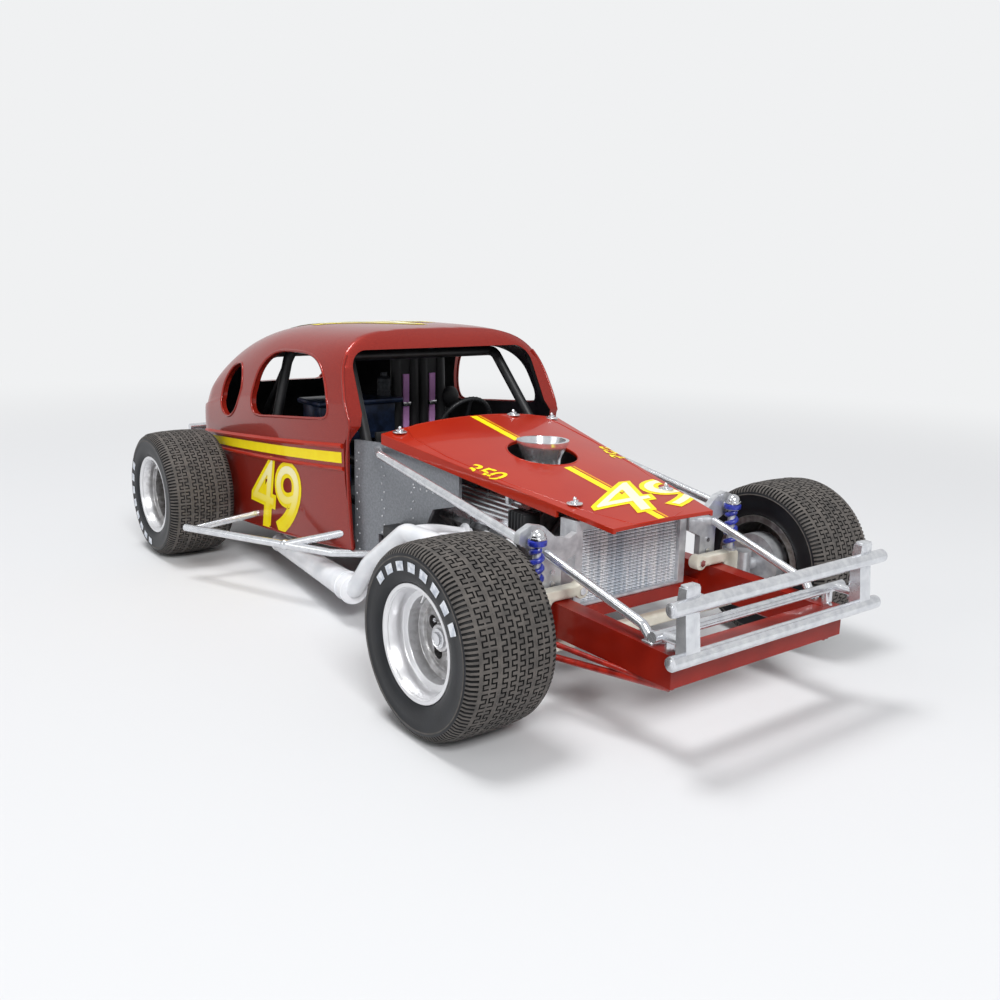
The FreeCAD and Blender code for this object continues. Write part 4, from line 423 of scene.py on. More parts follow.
class Piece:
    """Mesh in the making. Sizes are millimetres, and a place is a Vector or millimetres on the car."""

    def __init__(self, bm=None):
        self.bm = bmesh.new() if bm is None else bm

    def soften(self, verts, width):
        """Round off the sharp edges at some corners."""
        edges = dict.fromkeys(edge for vert in verts for edge in vert.link_edges)
        sharp = [edge for edge in edges if edge.calc_face_angle(0) > SHARP]
        bmesh.ops.bevel(self.bm, geom=sharp, offset=width * MM, segments=2, profile=0.5,
                        affect="EDGES", material=-1)

    def rod(self, start, end, radius, end_radius=None, segments=16):
        """Closed round bar between two places."""
        start, end = spot_of(start), spot_of(end)
        run = end - start
        turn = run.to_track_quat("Z", "Y").to_matrix().to_4x4()
        return bmesh.ops.create_cone(
            self.bm, cap_ends=True, segments=segments, radius1=radius * MM,
            radius2=(radius if end_radius is None else end_radius) * MM, depth=run.length,
            matrix=Matrix.Translation((start + end) / 2) @ turn)["verts"]

    def disc(self, centre, axis, radius, thickness, segments=24, bevel=0.0):
        """Flat round plate with softened rims."""
        centre = spot_of(centre)
        half = axis.normalized() * thickness * MM / 2
        verts = self.rod(centre - half, centre + half, radius, segments=segments)
        if bevel:
            self.soften(verts, bevel)

    def ball(self, centre, radius, u=12, v=8, squash=(1, 1, 1)):
        """Ball, squashed along the car's axes."""
        bmesh.ops.create_uvsphere(
            self.bm, u_segments=u, v_segments=v, radius=radius * MM,
            matrix=Matrix.Translation(spot_of(centre)) @ Matrix.Diagonal((*squash, 1)))

    def box(self, low, high, bevel=0.0):
        """Block between two corners, with softened edges."""
        low, high = spot_of(low), spot_of(high)
        size = [abs(extent) for extent in high - low]
        made = bmesh.ops.create_cube(
            self.bm, size=1, matrix=Matrix.Translation((low + high) / 2) @ Matrix.Diagonal((*size, 1)))
        if bevel:
            self.soften(made["verts"], bevel)

    def sweep(self, points, radius, resolution=4, smooth=True, cyclic=False):
        """Round bar along a line through a few places."""
        curve = bpy.data.curves.new("sweep", "CURVE")
        curve.dimensions = "3D"
        curve.bevel_depth = radius * MM
        curve.bevel_resolution = resolution
        curve.use_fill_caps = True
        spline = curve.splines.new("NURBS" if smooth else "POLY")
        spline.points.add(len(points) - 1)
        for point, place in zip(spline.points, points):
            point.co = (*spot_of(place), 1)
        spline.use_cyclic_u = cyclic
        if smooth:
            spline.use_endpoint_u = not cyclic
            spline.order_u = 3
            spline.resolution_u = 8
        self.take(curve)

    def take(self, source):
        """Add a curve, or another piece, to this one."""
        if isinstance(source, Piece):
            mesh = bpy.data.meshes.new("part")
            source.bm.to_mesh(mesh)
            source.bm.free()
        else:
            holder = bpy.data.objects.new("part", source)
            mesh = bpy.data.meshes.new_from_object(holder)
            bpy.data.objects.remove(holder)
            bpy.data.curves.remove(source)
        self.bm.from_mesh(mesh)
        bpy.data.meshes.remove(mesh)

    def figures(self, words, height, offset):
        """Flat figures drawn in the XY plane, centred, and cut so that they can follow a panel."""
        curve = bpy.data.curves.new("figures", "FONT")
        curve.body = words
        curve.size = height * MM * FONT_SIZE
        curve.offset = offset * height * MM
        curve.shear = SLANT
        curve.align_x = curve.align_y = "CENTER"
        curve.space_character = SPACING
        curve.resolution_u = 6
        self.take(curve)
        for axis in (Vector((1, 0, 0)), Vector((0, 1, 0))):
            for number in range(1, int(2 * height / SLICE)):
                bmesh.ops.bisect_plane(
                    self.bm, geom=self.bm.verts[:] + self.bm.edges[:] + self.bm.faces[:],
                    plane_co=axis * (number * SLICE - height) * MM, plane_no=axis, dist=1e-7)

    def sheet(self, columns, rows, place):
        """Flat grid whose corners lie where place(u, v) puts them."""
        bmesh.ops.create_grid(self.bm, x_segments=columns, y_segments=rows, size=0.5)
        for vert in self.bm.verts:
            vert.co = at(*place(vert.co.x + 0.5, vert.co.y + 0.5))

    def press(self, node, direction, lift):
        """Press a flat mesh onto a CAD node along a direction."""
        missed = []
        for vert in self.bm.verts:
            spot = drop_on(node, vert.co, direction, lift)
            if spot is None:
                missed.append(vert)
            else:
                vert.co = spot
        bmesh.ops.delete(self.bm, geom=missed, context="VERTS")

    def done(self, name, *materials, body="car", sharp=32, outward=True):
        """Object for the mesh, riding on a body."""
        if outward:
            bmesh.ops.recalc_face_normals(self.bm, faces=self.bm.faces)
        mesh = bpy.data.meshes.new(name)
        self.bm.to_mesh(mesh)
        self.bm.free()
        for material in materials:
            mesh.materials.append(FINISHES[material])
        for polygon in mesh.polygons:
            polygon.use_smooth = True
        mesh.set_sharp_from_angle(angle=math.radians(sharp))
        piece = bpy.data.objects.new(name, mesh)
        bpy.context.scene.collection.objects.link(piece)
        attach(piece, body)
        return piece




def away_from_cabin(place):
    """Direction from the middle line of the cabin to a place."""
    heart = at(0, min(max((place.y - NOSE_AXLE_Y) / MM, CABIN_FRONT), CABIN_REAR), CABIN_Z)
    return (place - heart).normalized()


def drop_on(node, place, direction, lift=0.0):
    """Nearest place on a CAD node along a direction, lifted off its surface."""
    direction = direction.normalized()
    hit, spot, normal, _ = NODES[node].ray_cast(spot_of(place) - direction * FAR, direction)
    if not hit:
        return None
    if normal.dot(direction) > 0:
        normal.negate()
    return spot + normal * lift * MM


def merged_copy(node):
    """Mesh of a CAD node with its loose triangles merged."""
    bm = bmesh.new()
    bm.from_mesh(NODES[node].data)
    bmesh.ops.remove_doubles(bm, verts=bm.verts, dist=JOINED)
    bm.normal_update()
    return bm


def sharp_lines(node, limit, outward):
    """Places along the hard outer edges of a CAD node, one list for each run of edges."""
    bm = merged_copy(node)
    # The order of the mesh is kept, so that each run gives the same lines
    edges = {}
    for edge in bm.edges:
        if len(edge.link_faces) == 2 and edge.is_convex and edge.calc_face_angle(0) > math.radians(limit):
            away = outward((edge.verts[0].co + edge.verts[1].co) / 2).normalized()
            if max(face.normal.dot(away) for face in edge.link_faces) > 0.5:
                edges[edge] = None
    lines = []
    while edges:
        first = next(iter(edges))
        edges.pop(first)
        line = list(first.verts)
        for grow in (line.append, lambda vert: line.insert(0, vert)):
            tip = line[-1] if grow == line.append else line[0]
            while True:
                onward = [edge for edge in tip.link_edges if edge in edges]
                if not onward:
                    break
                edges.pop(onward[0])
                tip = onward[0].other_vert(tip)
                grow(tip)
        spots = [line[0]]
        for vert in line[1:]:
            if (vert.co - spots[-1].co).length > LIP_STEP * MM:
                spots.append(vert)
        if len(spots) > LIP_PLACES:
            places = [vert.co - vert.normal * LIP_SINK * MM for vert in spots]
            for _ in range(LIP_ROUNDS):
                places[1:-1] = [(one + two * 2 + three) / 4
                                for one, two, three in zip(places, places[1:], places[2:])]
            lines.append(places)
    bm.free()
    return lines


def wheels():
    """Each wheel's name, the sign of its side and its centre."""
    for spin, centre in SPINS.items():
        end, side = spin.split("_")[:2]
        yield "%s_%s" % (end, side), SIDES[side], centre


# Operators


# Colour of the floor and of what lies behind it
BACKDROP = "f0f1f2"

# Place in metres, width and power of each lamp, and the place that all of them face
LAMPS = {
    "key": ((-0.26, -0.66, 0.58), 0.28, 5.0),
    "top": ((-0.10, 0.15, 0.80), 0.24, 3.4),
    "fill": ((-0.75, 0.15, 0.35), 0.40, 0.6),
}
LAMP_TARGET = Vector((0, 0, 0.02))

# Place of the camera, its yaw, pitch and roll in degrees, and its lens on film 36 mm wide
CAMERA_PLACE = at(-111.989, -108.203, 63.175)
CAMERA_TURN = (37.693, -12.896, 1.252)
CAMERA_LENS = 36.664


class COUPE_OT_stage(bpy.types.Operator):
    """Pale floor, soft studio light and the camera"""

    bl_idname = "coupe.stage"
    bl_label = "Stage"

    def execute(self, context):
        scene = context.scene
        scene.view_settings.view_transform = "Standard"
        bm = bmesh.new()
        bmesh.ops.create_grid(bm, x_segments=1, y_segments=1, size=6)
        mesh = bpy.data.meshes.new("floor")
        bm.to_mesh(mesh)
        bm.free()
        mesh.materials.append(self.floor_finish())
        floor = self.show(scene, "floor", mesh)
        scene.world = self.studio()
        for name, (place, width, power) in LAMPS.items():
            light = bpy.data.lights.new(name, "AREA")
            light.size = width
            light.energy = power
            lamp = self.show(scene, name, light)
            lamp.location = place
            lamp.rotation_euler = (LAMP_TARGET - Vector(place)).to_track_quat("-Z", "Y").to_euler()
        lens = bpy.data.cameras.new("camera")
        lens.sensor_fit = "HORIZONTAL"
        lens.sensor_width = 36
        lens.lens = CAMERA_LENS
        lens.clip_start = 0.005
        lens.clip_end = 30
        scene.camera = self.show(scene, "camera", lens)
        scene.camera.matrix_world = Matrix.Translation(CAMERA_PLACE) @ self.camera_turn()
        return {"FINISHED"}

    def show(self, scene, name, data):
        """Object in the scene for a mesh, a light or a camera."""
        thing = bpy.data.objects.new(name, data)
        scene.collection.objects.link(thing)
        return thing

    def camera_turn(self):
        """Turn of the camera from its yaw, pitch and roll."""
        yaw, pitch, roll = (math.radians(angle) for angle in CAMERA_TURN)
        forward = Vector((math.sin(yaw) * math.cos(pitch), math.cos(yaw) * math.cos(pitch), math.sin(pitch)))
        level = Vector((math.cos(yaw), -math.sin(yaw), 0))
        upright = level.cross(forward)
        right = level * math.cos(roll) + upright * math.sin(roll)
        up = upright * math.cos(roll) - level * math.sin(roll)
        return Matrix((right, up, -forward)).transposed().to_4x4()

    def studio(self):
        """Light from all sides, dimmer on the model than behind it."""
        world = bpy.data.worlds.new("studio")
        world.use_nodes = True
        ray = add_node(world, "ShaderNodeLightPath")
        shown = add_node(world, "ShaderNodeMath", {"operation": "MAXIMUM"},
                         n0=ray.outputs["Is Camera Ray"], n1=ray.outputs["Is Transmission Ray"])
        strength = add_node(world, "ShaderNodeMapRange", Value=shown.outputs["Value"], To_Min=0.4, To_Max=1.0)
        mirrored = add_node(world, "ShaderNodeMath", {"operation": "MULTIPLY_ADD"},
                            n0=ray.outputs["Is Glossy Ray"], n1=0.35, n2=strength.outputs["Result"])
        feed(world, world.node_tree.nodes["Background"], Color=linear(BACKDROP),
             Strength=mirrored.outputs["Value"])
        return world

    def floor_finish(self):
        """Pale card that turns into the backdrop away from the model."""
        material, shader = new_finish("pale_floor", "", "dcdddf", 0.6, Specular_IOR_Level=0.2)
        centred = add_node(material, "ShaderNodeMapping", Vector=place_of(material), Scale=(1.6, 1.6, 1.6))
        reach = add_node(material, "ShaderNodeTexGradient", {"gradient_type": "SPHERICAL"},
                         Vector=centred.outputs["Vector"])
        share = add_node(material, "ShaderNodeMapRange", {"interpolation_type": "SMOOTHSTEP"},
                         Value=reach.outputs["Fac"], From_Min=0.35, From_Max=0.8)
        glow = add_node(material, "ShaderNodeEmission", Color=linear(BACKDROP), Strength=1.0)
        mix = add_node(material, "ShaderNodeMixShader", n0=share.outputs["Result"],
                       n1=glow.outputs["Emission"], n2=shader.outputs["BSDF"])
        feed(material, material.node_tree.nodes["Material Output"], Surface=mix.outputs["Shader"])
        return material


# Bend in degrees over which an edge stays hard, and over which moulding has rounded it. The body is
# curved in coarser steps than the other nodes.
HARD, ROUNDED = 28, 38
BODY_HARD, BODY_ROUNDED = 68, 70


class COUPE_OT_finishes(bpy.types.Operator):
    """Give every CAD node its finish and smooth its curved faces"""

    bl_idname = "coupe.finishes"
    bl_label = "Finishes"

    def execute(self, context):
        FINISHES.update(make_finishes(context.scene.coupe_colours))
        crisp, curved = smoothing(HARD), smoothing(BODY_HARD)
        for name, node in NODES.items():
            stem = name.replace("_right", "").replace("_left", "")
            stem = stem.split("_")[0] if stem.startswith(("rim", "tyre")) else stem
            is_body = stem == "body_shell"
            node.data.materials.clear()
            node.data.materials.append(FINISHES[NODE_FINISH[stem]])
            node.modifiers.new("smooth", "NODES").node_group = curved if is_body else crisp
            if stem in SOFT_EDGES:
                bevel = node.modifiers.new("edges", "BEVEL")
                bevel.width = SOFT_EDGES[stem] * MM
                bevel.segments = 2
                bevel.limit_method = "ANGLE"
                bevel.angle_limit = math.radians(BODY_ROUNDED if is_body else ROUNDED)
                bevel.harden_normals = True
        return {"FINISHED"}


# Columns of the tread, each three lanes wide, by the share of the half width where they start.
# A slit folds back and forth along each column. Phase says where it starts, and blocks stop it
# at every lateral rib.
LANE = 0.048
COLUMNS = (
    (-0.740, 1, True), (-0.574, 3, True),
    (-0.348, 0, False), (-0.164, 2, False), (0.020, 1, False), (0.204, 3, False),
    (0.430, 1, True), (0.596, 3, True),
)
FOLDS = ((0, 1, 2), (2,), (0, 1, 2), (0,))
RINGS = ((-0.402, -0.384), (0.384, 0.402))
BLOCK_STEPS = 8
SHOULDER = 0.81
CROWN = 0.5 * MM

# How far the tread lies from the axle at least, and how far below the tread the worn line round
# the sidewall, the shoulder, its teeth and its dusty edge begin, in millimetres
TREAD_FROM = 9.5
LINE_BELOW, SHOULDER_BELOW, TEETH_BELOW, DUST_BELOW = 1.94, 1.75, 1.5, 1.35

# Bars painted on a sidewall: how many, their pitch and width in degrees, the radii of their ends
# and middle in millimetres, and the angle about which they are centred
BARS, BAR_PITCH, BAR_WIDTH = 8, 15.5, 9
BAR_RADII = (10.05, 10.7, 11.35)
BARS_AT = {"front": 8, "rear": -118}


class COUPE_OT_tyres(bpy.types.Operator):
    """Slit treads, toothed shoulders and painted marks"""

    bl_idname = "coupe.tyres"
    bl_label = "Tyres"

    def execute(self, context):
        sizes = context.scene.coupe_sizes
        for wheel, sign, centre in wheels():
            low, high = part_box("tyre_" + wheel)
            half = (high.x - low.x) / 2
            piece = Piece()
            self.turn_tyre(piece.bm, half, (high.z - low.z) / 2, sizes.tread_steps, sizes.slit_depth / MM)
            bmesh.ops.translate(piece.bm, vec=centre, verts=piece.bm.verts)
            tyre = piece.done("tread_" + wheel, "rubber", "tread", "groove", body="wheel_" + wheel, sharp=40)
            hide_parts("tyre_" + wheel)
            self.paint_bars(wheel, sign * (half + 0.045 * MM), centre)
        return {"FINISHED"}

    def turn_tyre(self, bm, half, radius, steps, depth):
        """Tyre about the X axis, with slits pressed into its crowned tread."""
        drop = CROWN * SHOULDER ** 2
        outside = [(half * 0.915, 8.36 * MM)]
        outside += [(half - inset * MM, reach * MM) for inset, reach in (
            (0.55, 8.42), (0.22, 8.9), (0.06, 9.6), (0, 10.6))]
        outside += [(half - inset * MM, radius - down * MM) for inset, down in (
            (0.02, 1.95), (-0.03, 1.85), (0.03, 1.75), (0.07, 1.4))]
        outside += [(half - 0.45 * MM, radius - 0.5 * MM - drop),
                    (half * SHOULDER + 0.2 * MM, radius - 0.06 * MM - drop)]
        shares = {start + lane * LANE for start, _, _ in COLUMNS for lane in range(4)}
        shares |= {share for ring in RINGS for share in ring} | {-SHOULDER, SHOULDER}
        crown = [(half * share, radius - CROWN * share ** 2) for share in sorted(shares)]
        profile = [(-x, r) for x, r in outside] + crown + list(reversed(outside))
        verts = [bm.verts.new((x, 0, r)) for x, r in profile]
        edges = [bm.edges.new(pair) for pair in zip(verts, verts[1:])]
        bmesh.ops.spin(bm, geom=verts + edges, cent=(0, 0, 0), axis=(1, 0, 0), angle=math.tau,
                       steps=steps, use_merge=True)
        bmesh.ops.remove_doubles(bm, verts=bm.verts, dist=1e-6)
        bmesh.ops.recalc_face_normals(bm, faces=bm.faces)
        slits, teeth, ribs = [], [], []
        for face in bm.faces:
            middle = face.calc_center_median()
            share = middle.x / half
            reach = math.hypot(middle.y, middle.z)
            step = int((math.atan2(middle.y, middle.z) / math.tau + 0.5) * steps + 0.25)
            turn = (step + (0 if share > 0 else BLOCK_STEPS // 2)) % BLOCK_STEPS
            if abs(share) < SHOULDER and reach > TREAD_FROM * MM:
                face.material_index = 1
                if self.is_cut(share, turn):
                    slits.append(face)
                elif turn == 0 and 0.42 < abs(share) < 0.75:
                    ribs.append(face)
            elif reach > radius - SHOULDER_BELOW * MM:
                face.material_index = 1 if reach > radius - DUST_BELOW * MM else 0
                if step % 2 and reach > radius - TEETH_BELOW * MM:
                    teeth.append(face)
            elif reach > radius - LINE_BELOW * MM:
                face.material_index = 1
        self.inset(bm, ribs, 0.12, 0.06)
        self.inset(bm, slits, 0.06, 0)
        for faces, width in ((slits, 0.02), (teeth, 0.07)):
            for face in faces + self.inset(bm, faces, width, -depth):
                face.material_index = 2

    def inset(self, bm, faces, width, rise):
        """Pull faces in from their edges and up, and give the new rims."""
        return bmesh.ops.inset_region(bm, faces=faces, thickness=width * MM, depth=rise * MM,
                                      use_boundary=True, use_even_offset=True)["faces"]

    def is_cut(self, share, turn):
        """Whether a slit is cut at this place of the tread."""
        for low, high in RINGS:
            if low < share < high:
                return turn != 0
        for start, phase, block in COLUMNS:
            lane = (share - start) / LANE
            if 0 < lane < 3:
                return int(lane) in FOLDS[(turn + phase) % 4] and not (block and turn == 0)
        return False

    def paint_bars(self, wheel, x, centre):
        """Plain white bars round the outer sidewall."""
        bars = Piece()
        for number in range(BARS):
            angle = BARS_AT[wheel.split("_")[0]] + (number - (BARS - 1) / 2) * BAR_PITCH - BAR_WIDTH / 2
            bar = Piece()
            ends = [bar.bm.verts.new((x, 0, r * MM)) for r in BAR_RADII]
            edges = [bar.bm.edges.new(pair) for pair in zip(ends, ends[1:])]
            bmesh.ops.spin(bar.bm, geom=ends + edges, cent=(0, 0, 0), axis=(1, 0, 0),
                           angle=math.radians(BAR_WIDTH), steps=4)
            bmesh.ops.rotate(bar.bm, cent=(0, 0, 0), verts=bar.bm.verts,
                             matrix=Matrix.Rotation(math.radians(angle), 3, "X"))
            bars.take(bar)
        bmesh.ops.solidify(bars.bm, geom=bars.bm.faces[:], thickness=0.04 * MM)
        bmesh.ops.translate(bars.bm, vec=centre, verts=bars.bm.verts)
        bars.done("marks_" + wheel, "chalk", body="wheel_" + wheel)


class COUPE_OT_side_stripes(bpy.types.Operator):
    """Yellow stripe and raised mouldings along the body sides"""

    bl_idname = "coupe.side_stripes"
    bl_label = "Side Stripes"

    def execute(self, context):
        lift = context.scene.coupe_sizes.decal / MM
        for side, sign in SIDES.items():
            inward = LEFT * -sign
            stripe = Piece()
            stripe.sheet(48, 2, lambda back, rise: (
                sign * ASIDE, 52.2 + back * 62, 28.0 - back * 5.0 + rise * (2.0 - 0.25 * back)))
            stripe.press("body_shell", inward, lift)
            stripe.done("side_stripe_" + side, "yellow")
            mouldings = Piece()
            for front, rear, radius in ((31.2, 25.4, 0.5), (27.0, 22.0, 0.42)):
                shares = [step / 30 for step in range(31)]
                spots = [drop_on("body_shell", (sign * ASIDE, 51.8 + back * 63, front + back * (rear - front)),
                                 inward, -0.02) for back in shares]
                mouldings.sweep([spot for spot in spots if spot], radius, 2)
            # The raised mouldings catch real light, and take the hood's brighter red as a painted highlight
            # along them
            mouldings.done("side_moulding_" + side, "hood")
        return {"FINISHED"}


class COUPE_OT_lips(bpy.types.Operator):
    """Rolled lips round the body's openings and along the hood's edges"""

    bl_idname = "coupe.lips"
    bl_label = "Lips"

    def execute(self, context):
        for node, finish, radius, outward in (
            ("body_shell", "body", 0.3, away_from_cabin),
            ("hood", "hood", 0.2, lambda place: UP),
        ):
            lips = Piece()
            for line in sharp_lines(node, 66, outward):
                closed = (line[0] - line[-1]).length < 0.9 * MM
                lips.sweep(line, radius, 1, smooth=False, cyclic=closed)
            lips.done(node + "_lips", finish, sharp=80)
        return {"FINISHED"}


class COUPE_OT_numbers(bpy.types.Operator):
    """Race numbers on the doors, the hood and the roof"""

    bl_idname = "coupe.numbers"
    bl_label = "Numbers"

    def execute(self, context):
        sizes = context.scene.coupe_sizes
        quarter = math.pi / 2
        for side, sign in SIDES.items():
            facing = Matrix.Rotation(sign * quarter, 4, "Z") @ Matrix.Rotation(quarter, 4, "X")
            self.figures("door_number_" + side, sizes.number, 14.6, 1.08, (sign * ASIDE, 79.3, 16.6), facing,
                         "body_shell", LEFT * -sign)
        self.figures("hood_number", sizes.number, 10.4, 1.75, (2.6, 3.4, ABOVE), Matrix(), "hood", -UP)
        for side, sign in SIDES.items():
            beside = Matrix.Rotation(sign * math.atan2(15.3, 5.5), 4, "Z")
            self.figures("hood_size_" + side, sizes.engine, 3.7, 1, (sign * 15.2, 22.2, ABOVE), beside,
                         "hood", -UP, {"yellow": 0.018})
        self.figures("roof_number", sizes.number, 22, 1, (-1, 78.5, ABOVE),
                     Matrix.Rotation(quarter, 4, "Z"), "body_shell", -UP)
        return {"FINISHED"}

    def figures(self, name, words, height, stretch, place, turn, node, direction, layers=None):
        """Figures pressed onto a panel, in layers of a colour and its swelling."""
        lift = bpy.context.scene.coupe_sizes.decal / MM
        layers = layers or {"yellow": 0.045, "pale": -0.012}
        for layer, (colour, swelling) in enumerate(layers.items()):
            piece = Piece()
            piece.figures(words, height, swelling)
            piece.bm.transform(Matrix.Translation(at(*place)) @ turn @ Matrix.Diagonal((stretch, 1, 1, 1)))
            piece.press(node, direction, lift * (2 + 2 * layer))
            piece.done("%s_%s" % (name, colour), colour)


# Places of the hood's pins, in millimetres on the car
PINS = ((-10, 5.1), (10, 5.1), (-17.5, 43.4), (17.5, 43.4), (8.5, 44.2))


class COUPE_OT_hood_trim(bpy.types.Operator):
    """Centre stripes and the hood pins"""

    bl_idname = "coupe.hood_trim"
    bl_label = "Hood Trim"

    def execute(self, context):
        for name, colour, low, high in (
            ("hood_stripe", "yellow", -1.3, 0.2),
            ("hood_pinstripe", "amber", 0.55, 1.0),
        ):
            stripe = Piece()
            stripe.sheet(2, 40, lambda share, back: (low + share * (high - low), -4.3 + back * 49, ABOVE))
            stripe.press("hood", -UP, context.scene.coupe_sizes.decal / MM)
            beside = [vert for vert in stripe.bm.verts if vert.co.z < 20 * MM]
            bmesh.ops.delete(stripe.bm, geom=beside, context="VERTS")
            stripe.done(name, colour)
        pins = Piece()
        for x, y in PINS:
            spot = drop_on("hood", (x, y, ABOVE), -UP)
            pins.disc(spot + UP * 0.12, UP, 1.3, 0.26, 28, 0.09)
            pins.disc(spot + UP * 0.34, UP, 0.6, 0.24, 20, 0.08)
            pins.rod(spot, spot + UP * 0.75, 0.26, 0.22)
            pins.ball(spot + UP * 0.85, 0.32, 14, 10)
            pins.rod(spot + by(-0.85, 0, 0.52), spot + by(0.85, 0.1, 0.52), 0.08, segments=8)
        pins.done("hood_pins", "tubes")
        return {"FINISHED"}


class COUPE_OT_rivets(bpy.types.Operator):
    """Rivet rows on the cowl panels"""

    bl_idname = "coupe.rivets"
    bl_label = "Rivets"

    def execute(self, context):
        sizes = context.scene.coupe_sizes
        pitch = sizes.rivet_pitch / MM
        places = [(28.5 + number * pitch, 25.2 + number * 0.05) for number in range(7)]
        for y, low, high in ((50.6, 12, 31.5), (45.2, 14.5, 31.5), (38.0, 17, 28.6)):
            for number in range(int((high - low) / pitch) + 1):
                places.append((y + (0.25 if number % 2 else -0.25), low + number * pitch))
        for side, sign in SIDES.items():
            rivets = Piece()
            for y, z in places:
                spot = drop_on("cowl_panel_" + side, (sign * ASIDE, y, z), LEFT * -sign)
                if spot:
                    rivets.ball(spot, sizes.rivet / MM, 8, 5, (0.6, 1, 1))
            # Rivet heads take the bright plate finish, lighter than the gunmetal panel they sit on, as a
            # painted highlight on each head
            rivets.done("cowl_rivets_" + side, "plate", sharp=60)
        return {"FINISHED"}


class COUPE_OT_springs(bpy.types.Operator):
    """Wound springs on their dampers"""

    bl_idname = "coupe.springs"
    bl_label = "Springs"

    def execute(self, context):
        for end, turns, wire, cap in (("front", 3.75, 0.46, 0.9), ("rear", 3.5, 0.4, 0.5)):
            for side in SIDES:
                node = "%s_coilover_%s" % (end, side)
                low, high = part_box(node)
                radius = (high.x - low.x) / 2
                y = high.y - radius if end == "rear" else low.y + radius
                foot = Vector(((low.x + high.x) / 2, y, low.z))
                top = Vector((foot.x, y, high.z - cap * MM))
                spring = self.wind(foot, top, radius / MM, turns, wire).done(
                    "%s_spring_%s" % (end, side), "blue", sharp=70)
                rods = Piece()
                rods.rod(foot, foot + UP * 0.4, radius / MM, segments=28)
                rods.rod(foot, top, 0.62, segments=20)
                rods.rod(top - UP * 0.4, top, radius / MM * 0.9, segments=28)
                if end == "front":
                    bar = top + UP * 0.1
                    rods.rod(Vector((bar.x, low.y + 0.2 * MM, bar.z)), Vector((bar.x, high.y, bar.z)), 0.72,
                             segments=20)
                damper = rods.done("%s_damper_%s" % (end, side), "plate")
                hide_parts(node)
                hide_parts(node)
        return {"FINISHED"}

    def wind(self, foot, top, radius, turns, wire):
        """Round wire wound up from one seat to the other."""
        coil = Piece()
        ring = bmesh.ops.create_circle(coil.bm, segments=10, radius=wire * MM)["verts"]
        bmesh.ops.rotate(coil.bm, cent=(0, 0, 0), verts=ring, matrix=Matrix.Rotation(math.pi / 2, 3, "X"))
        bmesh.ops.translate(coil.bm, vec=foot + by(radius - wire, 0, 0.75), verts=ring)
        steps = int(turns * 28)
        climb = (top.z - foot.z - 1.5 * MM) / steps
        bmesh.ops.spin(coil.bm, geom=coil.bm.verts[:] + coil.bm.edges[:], cent=foot, axis=(0, 0, 1),
                       dvec=(0, 0, climb), angle=math.tau * turns, steps=steps)
        bmesh.ops.holes_fill(coil.bm, edges=[edge for edge in coil.bm.edges if edge.is_boundary])
        return coil


class COUPE_OT_wheel_details(bpy.types.Operator):
    """Wheel nuts, hub caps and valve stems"""

    bl_idname = "coupe.wheel_details"
    bl_label = "Wheel Details"

    def execute(self, context):
        for wheel, sign, centre in wheels():
            low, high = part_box("rim_" + wheel)
            face = Vector((high.x if sign > 0 else low.x, centre.y, centre.z))
            out = LEFT * sign
            disc = face - out * 5.2
            caps = Piece()
            caps.disc(disc + out * 1.35, out, 1.45, 0.3, bevel=0.1)
            caps.disc(disc + out * 1.65, out, 0.95, 0.5, bevel=0.16)
            for number in range(5):
                angle = math.tau * (number + 0.5) / 5
                foot = disc + by(0, math.cos(angle), math.sin(angle)) * 2.95
                caps.rod(foot, foot + out * 0.4, 0.36, 0.33, segments=6)
                caps.ball(foot + out * 0.42, 0.2)
            caps.done("hub_cap_" + wheel, "plating", body="wheel_" + wheel)
            beads = Piece()
            for reach, step in ((7.62, 0.42), (6.6, 3.0), (5.65, 4.9)):
                beads.take(self.bead(reach, face - out * step))
            stem = face - out * 1.6 + UP * 6.65
            beads.rod(stem, stem + by(sign * 0.5, 0, -1.1), 0.17)
            beads.done("rim_beads_" + wheel, "wheel", body="wheel_" + wheel, sharp=60)
        return {"FINISHED"}

    def bead(self, reach, centre):
        """Thin round ring about the wheel's axle."""
        ring = Piece()
        wire = bmesh.ops.create_circle(ring.bm, segments=10, radius=0.13 * MM, cap_ends=False)["verts"]
        bmesh.ops.rotate(ring.bm, cent=(0, 0, 0), verts=wire, matrix=Matrix.Rotation(math.pi / 2, 4, "X"))
        bmesh.ops.translate(ring.bm, vec=UP * reach, verts=wire)
        bmesh.ops.spin(ring.bm, geom=ring.bm.verts[:] + ring.bm.edges[:], cent=(0, 0, 0), axis=(1, 0, 0),
                       angle=math.tau, steps=72, use_merge=True)
        bmesh.ops.translate(ring.bm, vec=centre, verts=ring.bm.verts)
        return ring


# How far behind the front axle the pulleys stand
PULLEYS_Y = 12.9


